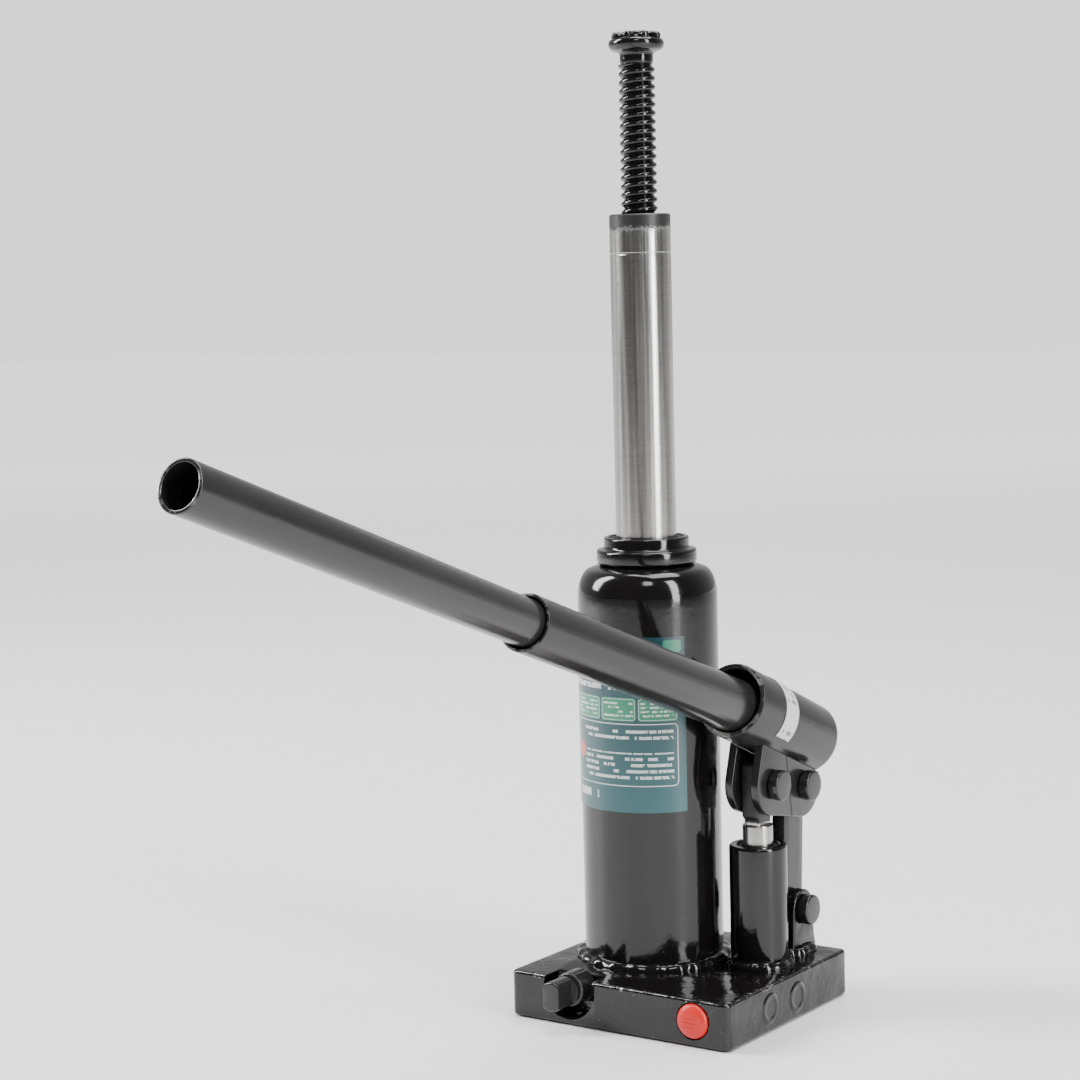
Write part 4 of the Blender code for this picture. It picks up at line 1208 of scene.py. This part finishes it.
def ear_outline():
    """Outline of an ear: two round lobes about its pins with a shallow waist, running up into the tube."""
    front, rear = (FRONT_PIN.y, FRONT_PIN.z), (REAR_PIN.y, REAR_PIN.z)
    lean = math.degrees(math.atan2(rear[1] - front[1], rear[0] - front[0]))
    outline = arc(front, FRONT_LOBE, 168.0, 270.0 + lean, 26)
    outline += arc(rear, REAR_LOBE, 270.0 + lean, 372.0, 30)
    outline += [(rear[0] + 9.5, 88.0), (front[0] - 3.0, 106.0), (front[0] - 6.4, 97.5)]
    return outline


def build_ears():
    """Two pressed ears welded under the tube: the near one has a shallow groove between its lobes."""
    pitch = sizes().socket_pitch
    for side, sign, node in (("near", 1.0, "socket_ear_near"), ("far", -1.0, "socket_ear_far")):
        ends = sorted((PLANE + sign * EAR_INNER, PLANE + sign * EAR_OUTER))
        ear = flat_plate("ear_" + side, ear_outline(), *ends, 0.55)
        matrix = up_tube(socket_mouth(), pitch)
        bore = place(turn_up("cutter",
                             [(0, 8.0), (SOCKET_RADIUS + 0.15, 8.0), (SOCKET_RADIUS + 0.15, -70.0),
                              (0, -70.0)], 128), matrix)
        boolean(ear, bore, "DIFFERENCE")
        for pin in (FRONT_PIN, REAR_PIN):
            boolean(ear, cutter([(PIN_RADIUS + GAP, -12.0)], 12.0, along_x(PLANE, pin.y, pin.z), 48),
                    "DIFFERENCE")
        if sign > 0:
            groove = place(round_bar("cutter", 0.55, -16.0, 16.0, None, 24, 0.0),
                           Matrix.Translation(Vector((PLANE + EAR_OUTER + 0.2, 18.6, 82.0)) * MM)
                           @ Matrix.Rotation(math.radians(9.0), 4, "X"))
            boolean(ear, groove, "DIFFERENCE")
        finish_piece(ear, satin_enamel(), "socket", "black_satin", node)


def build_socket():
    """Handle socket tube with its closed back, and the printed band round it."""
    pitch = sizes().socket_pitch
    back = -SOCKET_LENGTH
    rounded_back = [(SOCKET_RADIUS, back + 2.0), (SOCKET_RADIUS - SOCKET_EDGE, back + SOCKET_EDGE)]
    rounded_back += [(SOCKET_RADIUS - 2.0, back)]
    profile = soften([(SOCKET_BORE, 0.0), (SOCKET_RADIUS, 0.0), *rounded_back,
                      (SOCKET_HOLE, back), (SOCKET_HOLE, back + SOCKET_BACK),
                      (SOCKET_BORE, back + SOCKET_BACK)], 0.5, closed=True)
    tube = turn_up("socket", profile, 128, closed=True)
    matrix = up_tube(socket_mouth(), pitch)
    place(tube, matrix)
    wear_and_highlight = rim_wear_and_highlight_enamel("socket_enamel", socket_mouth(), socket_axis(), 0.5)
    finish_piece(tube, wear_and_highlight, "socket", "black_satin", "socket_tube")
    band = wrap_sheet("socket_band", SOCKET_RADIUS + SHEET_GAP, BAND_TURN,
                      (-SOCKET_WRAP_END, -SOCKET_WRAP_START), 70)
    place(band, matrix)
    finish_piece(band, socket_wrap(), "socket", "white_label", "socket_sticker")


def build_handle():
    """Two telescoping handle tubes with softly rolled rims."""
    axis = HANDLE_AXIS.normalized()
    end = tube_end("handle_inner_tube", THIN_TUBE[0], HANDLE_PITCH)
    matrix = up_tube(end, HANDLE_PITCH)
    outer, inner, length = THIN_TUBE
    thin = soften([(inner, 0.0), (outer, 0.0), (outer, -length), (inner, -length)], 0.5, closed=True)
    obj = place(turn_up("handle_front", thin, 112, closed=True), matrix)
    finish_piece(obj, rim_wear_and_highlight_enamel("front_tube_enamel", end, axis, 0.55), "handle_inner", "black_satin",
                 "handle_inner_tube")
    outer, inner, near, far = THICK_TUBE
    thick = soften([(inner, -near), (outer, -near), (outer, -far), (inner, -far)], 0.45, closed=True)
    obj = place(turn_up("handle_rear", thick, 112, closed=True), matrix)
    rim = end - axis * near
    finish_piece(obj, rim_wear_and_highlight_enamel("rear_tube_enamel", rim, axis, 0.5), "handle_outer", "black_satin",
                 "handle_outer_tube")


def build_pins():
    """Headed pins with washers and split pins at the three pivots."""
    pivots = (("plunger_pin", FRONT_PIN, "socket"), ("link_top_pin", REAR_PIN, "socket"),
              ("link_foot_pin", FOOT_PIN, "frame"))
    enamelled, plain = satin_enamel(), dark_steel()
    face = EAR_OUTER + 0.5
    for name, pivot, body in pivots:
        matrix = along_x(PLANE, pivot.y, pivot.z)
        head, tail = face + PIN_HEAD_LENGTH, -face - PIN_TAIL
        profile = soften([(0, head), (PIN_HEAD, head), (PIN_HEAD, face), (PIN_RADIUS, face),
                          (PIN_RADIUS, tail), (0, tail)], 0.8)
        pin = place(turn_up(name.replace("_pin", "_rivet"), profile, 72), matrix)
        x = PLANE - face - 2.4
        boolean(pin, cutter([(0.8, -6.0)], 6.0, at(x, pivot.y, pivot.z), 24), "DIFFERENCE")
        finish_piece(pin, enamelled, body, "black_satin", name)
        washer = soften([(5.2, -face), (5.2, -face - WASHER), (PIN_RADIUS + GAP, -face - WASHER),
                         (PIN_RADIUS + GAP, -face)], 0.3, closed=True)
        ring = place(turn_up(name + "_ring", washer, 64, closed=True), matrix)
        finish_piece(ring, plain, body, "dark_steel", name + "_washer")
        loop = turn_up(name + "_split", arc((1.4, 0.0), 0.5, 0.0, 345.0, 12), 40, closed=True)
        place(loop, at(x, pivot.y, pivot.z + 5.4, math.pi / 2, "Y"))
        leg = round_bar("leg", 0.5, -5.6, 3.9, at(x, pivot.y, pivot.z), 16, 0.2)
        boolean(loop, leg, "UNION")
        finish_piece(loop, plain, body, "dark_steel", name + "_cotter")


# ---------------------------------------------------------------- valves and plugs


def build_release():
    """Release valve: a collar and a flatted head standing in its recess."""
    floor = -RECESS_FLOOR
    tip = floor + RELEASE_REACH
    profile = [(0, tip), (5.2, tip), (5.2, floor + 10.2), (4.3, floor + 9.9), (4.3, floor + 9.4),
               (6.0, floor + 9.1), (6.0, floor + 0.5), (3.2, floor + 0.5), (3.2, 24.4), (0, 24.4)]
    valve = place(turn_up("release_screw", soften(profile, 0.7), 96), along_front(RELEASE.x, 0, RELEASE.z))
    for sign in (-1.0, 1.0):
        low_x, high_x = sorted((sign * RELEASE_FLAT, sign * 12.0))
        low = (RELEASE.x + low_x, -floor - 24.0, 0.0)
        high = (RELEASE.x + high_x, -floor - 11.0, 25.0)
        boolean(valve, box_piece("flat", low, high), "DIFFERENCE")
    round_edges(valve, 0.3, 2, 45.0)
    return finish_piece(valve, satin_enamel(), "release", "black_satin", "release_valve")


def build_caps():
    """Domed red cap on the front, and the two sealing plugs on the side."""
    front = -BASE_LOW.y
    dome = [(0, front + 2.1), (2.2, front + 2.05), (4.2, front + 1.7), (5.6, front + 1.0),
            (SAFETY_RADIUS, front - 0.1)]
    dome += [(SAFETY_RADIUS, front - 2.2), (4.6, front - 2.2), (4.6, front - 2.8), (0, front - 2.8)]
    cap = place(turn_up("front_cap", soften(dome, 0.5), 80), along_front(SAFETY.x, 0, SAFETY.z))
    for index in range(MARK_COUNT):
        rise = SAFETY.z + MARK_STEP * index
        mark = box_piece("mark", (SAFETY.x - 2.6, -front - 2.6, rise - 1.9),
                         (SAFETY.x + 2.6, -front - 1.8, rise - 1.3), 0.12)
        boolean(cap, mark, "DIFFERENCE")
    finish_piece(cap, red_plastic(), "frame", "red_plastic", "safety_cap")
    paint_skin = gloss_enamel()
    for node in ("suction_plug", "delivery_plug"):
        middle = middle_mm(node)
        disc = soften([(0, 0.08), (3.0, 0.08), (3.9, 0.38), (4.7, 0.38), (6.2, -0.2), (6.2, -3.6),
                       (0, -3.6)], 1.0)
        plug = place(turn_up(node.replace("_plug", "_seal"), disc, 72),
                     along_x(BASE_HIGH.x, middle.y, middle.z))
        finish_piece(plug, paint_skin, "frame", "black_gloss", node)


def finish_hidden():
    """Finishes for the CAD pieces that stay as they are, inside the jack."""
    finishes = {"dark_steel": dark_steel(), "bright": bright_steel(), "rubber": rubber()}
    chosen = (("pressure_cylinder", "dark_steel"), ("ram_retaining_nut", "dark_steel"),
              ("screw_stop_ring", "bright"),
              ("suction_ball", "bright"), ("delivery_ball", "bright"), ("safety_adjuster", "bright"),
              ("safety_spring", "bright"), ("safety_ball", "bright"), ("release_ball", "bright"),
              ("cylinder_gasket", "rubber"), ("ram_cup_seal", "rubber"), ("release_o_ring", "rubber"),
              ("plunger_seal", "rubber"))
    for node, finish in chosen:
        mesh = frame["nodes"][node].data
        mesh.materials.clear()
        mesh.materials.append(finishes[finish])


@once
def cast_enamel():
    """Gloss enamel on the rough block: deeper slow waves and bright chips along its raised edges."""
    material = enamel("gloss_black_on_casting", paint().gloss_black, paint().gloss_roughness, 380.0, 0.30,
                      0.8)
    graph = Graph(material.node_tree)
    shader = material.node_tree.nodes["Principled BSDF"]
    vector = graph.here()
    split = graph.node("ShaderNodeSeparateXYZ", {0: vector})
    waves = graph.noise(vector, 75.0, 3.0, 0.5)
    old = shader.inputs["Normal"].links[0].from_socket
    graph.feed(shader, "Normal", graph.bump(waves, 0.55, 0.0016, old))
    # chips and the painted reflection of the top edge sit where the height is near the top edge and the face
    # is near the front or right side
    high = graph.span(split.outputs["Z"], (BASE_TOP - 1.6) * MM, (BASE_TOP - 0.5) * MM)
    low = graph.span(split.outputs["Z"], (BASE_TOP + 0.4) * MM, (BASE_TOP - 0.1) * MM)
    front = graph.span(split.outputs["Y"], (BASE_LOW.y + 1.3) * MM, (BASE_LOW.y + 0.8) * MM)
    side = graph.span(split.outputs["X"], (BASE_HIGH.x - 2.4) * MM, (BASE_HIGH.x - 1.9) * MM)
    edge = graph.times(graph.times(high, low), graph.math("MAXIMUM", front, side))
    ragged = graph.noise(vector, 620.0, 4.0, 0.7)
    patch = graph.noise(vector, 110.0, 2.0, 0.5)
    chips_and_glints = graph.times(graph.span(ragged, 0.57, 0.61), graph.span(patch, 0.50, 0.60))
    wear_and_highlight = graph.times(edge, chips_and_glints)
    base = shader.inputs["Base Color"].links[0].from_socket
    # bright grey: real paint chips, and a painted reflection along the top front edge
    graph.feed(shader, "Base Color", graph.mix(wear_and_highlight, base, (0.46, 0.45, 0.44, 1.0)))
    graph.feed(shader, "Metallic", graph.times(wear_and_highlight, 0.7))
    return material


# ---------------------------------------------------------------- stage


CAMERA_PLACE = Vector((486.4, -754.2, 258.4)) * MM
CAMERA_YAW = 0.615
CAMERA_PITCH = 0.101
CAMERA_ROLL = -0.025
CAMERA_LENS = 84.35


def camera_matrix():
    """The camera's place and turn from its yaw, pitch and roll."""
    forward = Vector((-math.sin(CAMERA_YAW) * math.cos(CAMERA_PITCH),
                      math.cos(CAMERA_YAW) * math.cos(CAMERA_PITCH),
                      -math.sin(CAMERA_PITCH)))
    right = Vector((math.cos(CAMERA_YAW), math.sin(CAMERA_YAW), 0.0))
    up = right.cross(forward)
    cosine, sine = math.cos(CAMERA_ROLL), math.sin(CAMERA_ROLL)
    turned_right = right * cosine + up * sine
    turned_up = up * cosine - right * sine
    matrix = Matrix((turned_right, turned_up, -forward)).transposed().to_4x4()
    matrix.translation = CAMERA_PLACE
    return matrix


def soft_light(name, place_at, aim, size, power, colour=(1.0, 1.0, 1.0)):
    """Rectangular soft light aimed at a point."""
    light = bpy.data.lights.new(name, "AREA")
    light.shape = "RECTANGLE"
    light.size, light.size_y = size
    light.energy = power
    light.color = colour
    lamp = bpy.data.objects.new(name, light)
    bpy.context.scene.collection.objects.link(lamp)
    lamp.location = place_at
    lamp.rotation_euler = (Vector(aim) - Vector(place_at)).to_track_quat("-Z", "Y").to_euler()
    return lamp


def build_stage():
    """Pale floor that brightens behind the jack, soft studio lights and the camera."""
    deselect()
    bpy.ops.mesh.primitive_plane_add(size=14.0, location=(0.0, 0.0, -0.0005))
    floor = bpy.context.object
    floor.name = "floor"
    material, graph, shader = new_finish("pale_floor", (0.80, 0.80, 0.79), 0.6)
    vector = graph.here()
    grain = graph.noise(vector, 30.0, 3.0, 0.5)
    graph.feed(shader, "Base Color", graph.mix(grain, (0.80, 0.80, 0.795, 1.0), (0.84, 0.84, 0.835, 1.0)))
    away = (-math.sin(CAMERA_YAW), math.cos(CAMERA_YAW), 0.0)
    run = graph.node("ShaderNodeVectorMath", {0: vector, 1: away}, operation="DOT_PRODUCT").outputs["Value"]
    shader.inputs["Emission Color"].default_value = (1.0, 1.0, 1.0, 1.0)
    graph.feed(shader, "Emission Strength", graph.span(run, 0.15, 2.6, 0.0, 1.25))
    floor.data.materials.append(material)
    world = bpy.context.scene.world or bpy.data.worlds.new("studio")
    bpy.context.scene.world = world
    world.use_nodes = True
    sky = Graph(world.node_tree)
    seen = sky.node("ShaderNodeLightPath").outputs["Is Camera Ray"]
    direction = sky.node("ShaderNodeTexCoord").outputs["Generated"]
    behind = sky.node("ShaderNodeVectorMath", {0: direction, 1: away},
                      operation="DOT_PRODUCT").outputs["Value"]
    dim = sky.span(behind, -0.2, 0.9, 0.10, 0.75)
    background = world.node_tree.nodes["Background"]
    background.inputs["Color"].default_value = (1.0, 1.0, 1.0, 1.0)
    sky.feed(background, "Strength", sky.math("MAXIMUM", dim, sky.times(seen, 1.5)))
    middle = (0.0, 0.0, 0.15)
    soft_light("key", (-1.15, -0.55, 0.95), middle, (0.40, 1.2), 40.0)
    soft_light("side", (1.15, -0.20, 0.60), middle, (0.28, 1.2), 20.0)
    soft_light("top", (0.1, 0.25, 1.5), middle, (1.1, 0.9), 30.0)
    soft_light("front", (0.9, -1.35, 1.7), middle, (0.5, 0.5), 9.0)
    camera = bpy.data.cameras.new("view")
    camera.sensor_width = 36.0
    camera.lens = CAMERA_LENS
    camera.clip_start = 0.05
    camera.clip_end = 20.0
    view = bpy.data.objects.new("view", camera)
    bpy.context.scene.collection.objects.link(view)
    view.matrix_world = camera_matrix()
    bpy.context.scene.camera = view


# ---------------------------------------------------------------- operators and panel


class JACK_OT_casting(bpy.types.Operator):
    """Model the base casting and its welds."""

    bl_idname = "jack.casting"
    bl_label = "Base casting"
    bl_options = {"REGISTER", "UNDO"}

    def execute(self, context):
        build_casting()
        build_welds()
        return {"FINISHED"}


class JACK_OT_reservoir(bpy.types.Operator):
    """Model the reservoir, its gland and its printed wrap."""

    bl_idname = "jack.reservoir"
    bl_label = "Reservoir"
    bl_options = {"REGISTER", "UNDO"}

    def execute(self, context):
        build_reservoir()
        build_wrap()
        return {"FINISHED"}


class JACK_OT_ram(bpy.types.Operator):
    """Model the ram and the extension screw."""

    bl_idname = "jack.ram"
    bl_label = "Ram and screw"
    bl_options = {"REGISTER", "UNDO"}

    def execute(self, context):
        build_ram()
        build_screw()
        return {"FINISHED"}


class JACK_OT_pump(bpy.types.Operator):
    """Model the pump barrel and its plunger."""

    bl_idname = "jack.pump"
    bl_label = "Pump"
    bl_options = {"REGISTER", "UNDO"}

    def execute(self, context):
        build_pump()
        return {"FINISHED"}


class JACK_OT_linkage(bpy.types.Operator):
    """Model the link, the ears and the pins."""

    bl_idname = "jack.linkage"
    bl_label = "Linkage"
    bl_options = {"REGISTER", "UNDO"}

    def execute(self, context):
        build_link()
        build_ears()
        build_pins()
        return {"FINISHED"}


class JACK_OT_handle(bpy.types.Operator):
    """Model the handle socket and the two handle tubes."""

    bl_idname = "jack.handle"
    bl_label = "Handle"
    bl_options = {"REGISTER", "UNDO"}

    def execute(self, context):
        build_socket()
        build_handle()
        return {"FINISHED"}


class JACK_OT_valves(bpy.types.Operator):
    """Model the release valve, the caps and the plugs."""

    bl_idname = "jack.valves"
    bl_label = "Valves and caps"
    bl_options = {"REGISTER", "UNDO"}

    def execute(self, context):
        build_release()
        build_caps()
        return {"FINISHED"}


class JACK_OT_hidden(bpy.types.Operator):
    """Give the inner pieces their finishes."""

    bl_idname = "jack.hidden"
    bl_label = "Inner pieces"
    bl_options = {"REGISTER", "UNDO"}

    def execute(self, context):
        finish_hidden()
        return {"FINISHED"}


class JACK_OT_stage(bpy.types.Operator):
    """Set up the floor, the lights and the camera."""

    bl_idname = "jack.stage"
    bl_label = "Stage"
    bl_options = {"REGISTER", "UNDO"}

    def execute(self, context):
        build_stage()
        return {"FINISHED"}


STEPS = (JACK_OT_casting, JACK_OT_reservoir, JACK_OT_ram, JACK_OT_pump, JACK_OT_linkage, JACK_OT_handle,
         JACK_OT_valves, JACK_OT_hidden, JACK_OT_stage)


class JACK_PT_panel(bpy.types.Panel):
    """Sidebar panel with the sizes, the finishes and one button for each step."""

    bl_idname = "JACK_PT_panel"
    bl_label = "Bottle Jack"
    bl_space_type = "VIEW_3D"
    bl_region_type = "UI"
    bl_category = "Bottle Jack"

    def draw(self, context):
        for group in (context.scene.jack_sizes, context.scene.jack_paint):
            box = self.layout.box()
            for name in group.bl_rna.properties.keys():
                if name not in ("rna_type", "name"):
                    box.prop(group, name)
        for step in STEPS:
            self.layout.operator(step.bl_idname)


CLASSES = (JackPaint, JackSizes) + STEPS + (JACK_PT_panel,)


def register():
    for cls in CLASSES:
        bpy.utils.register_class(cls)
    bpy.types.Scene.jack_paint = PointerProperty(type=JackPaint)
    bpy.types.Scene.jack_sizes = PointerProperty(type=JackSizes)


def unregister():
    del bpy.types.Scene.jack_sizes
    del bpy.types.Scene.jack_paint
    for cls in reversed(CLASSES):
        bpy.utils.unregister_class(cls)


def main():
    register()
    for step in STEPS:
        name = step.bl_idname.split(".")[1]
        getattr(bpy.ops.jack, name)()


if __name__ == "__main__":
    main()
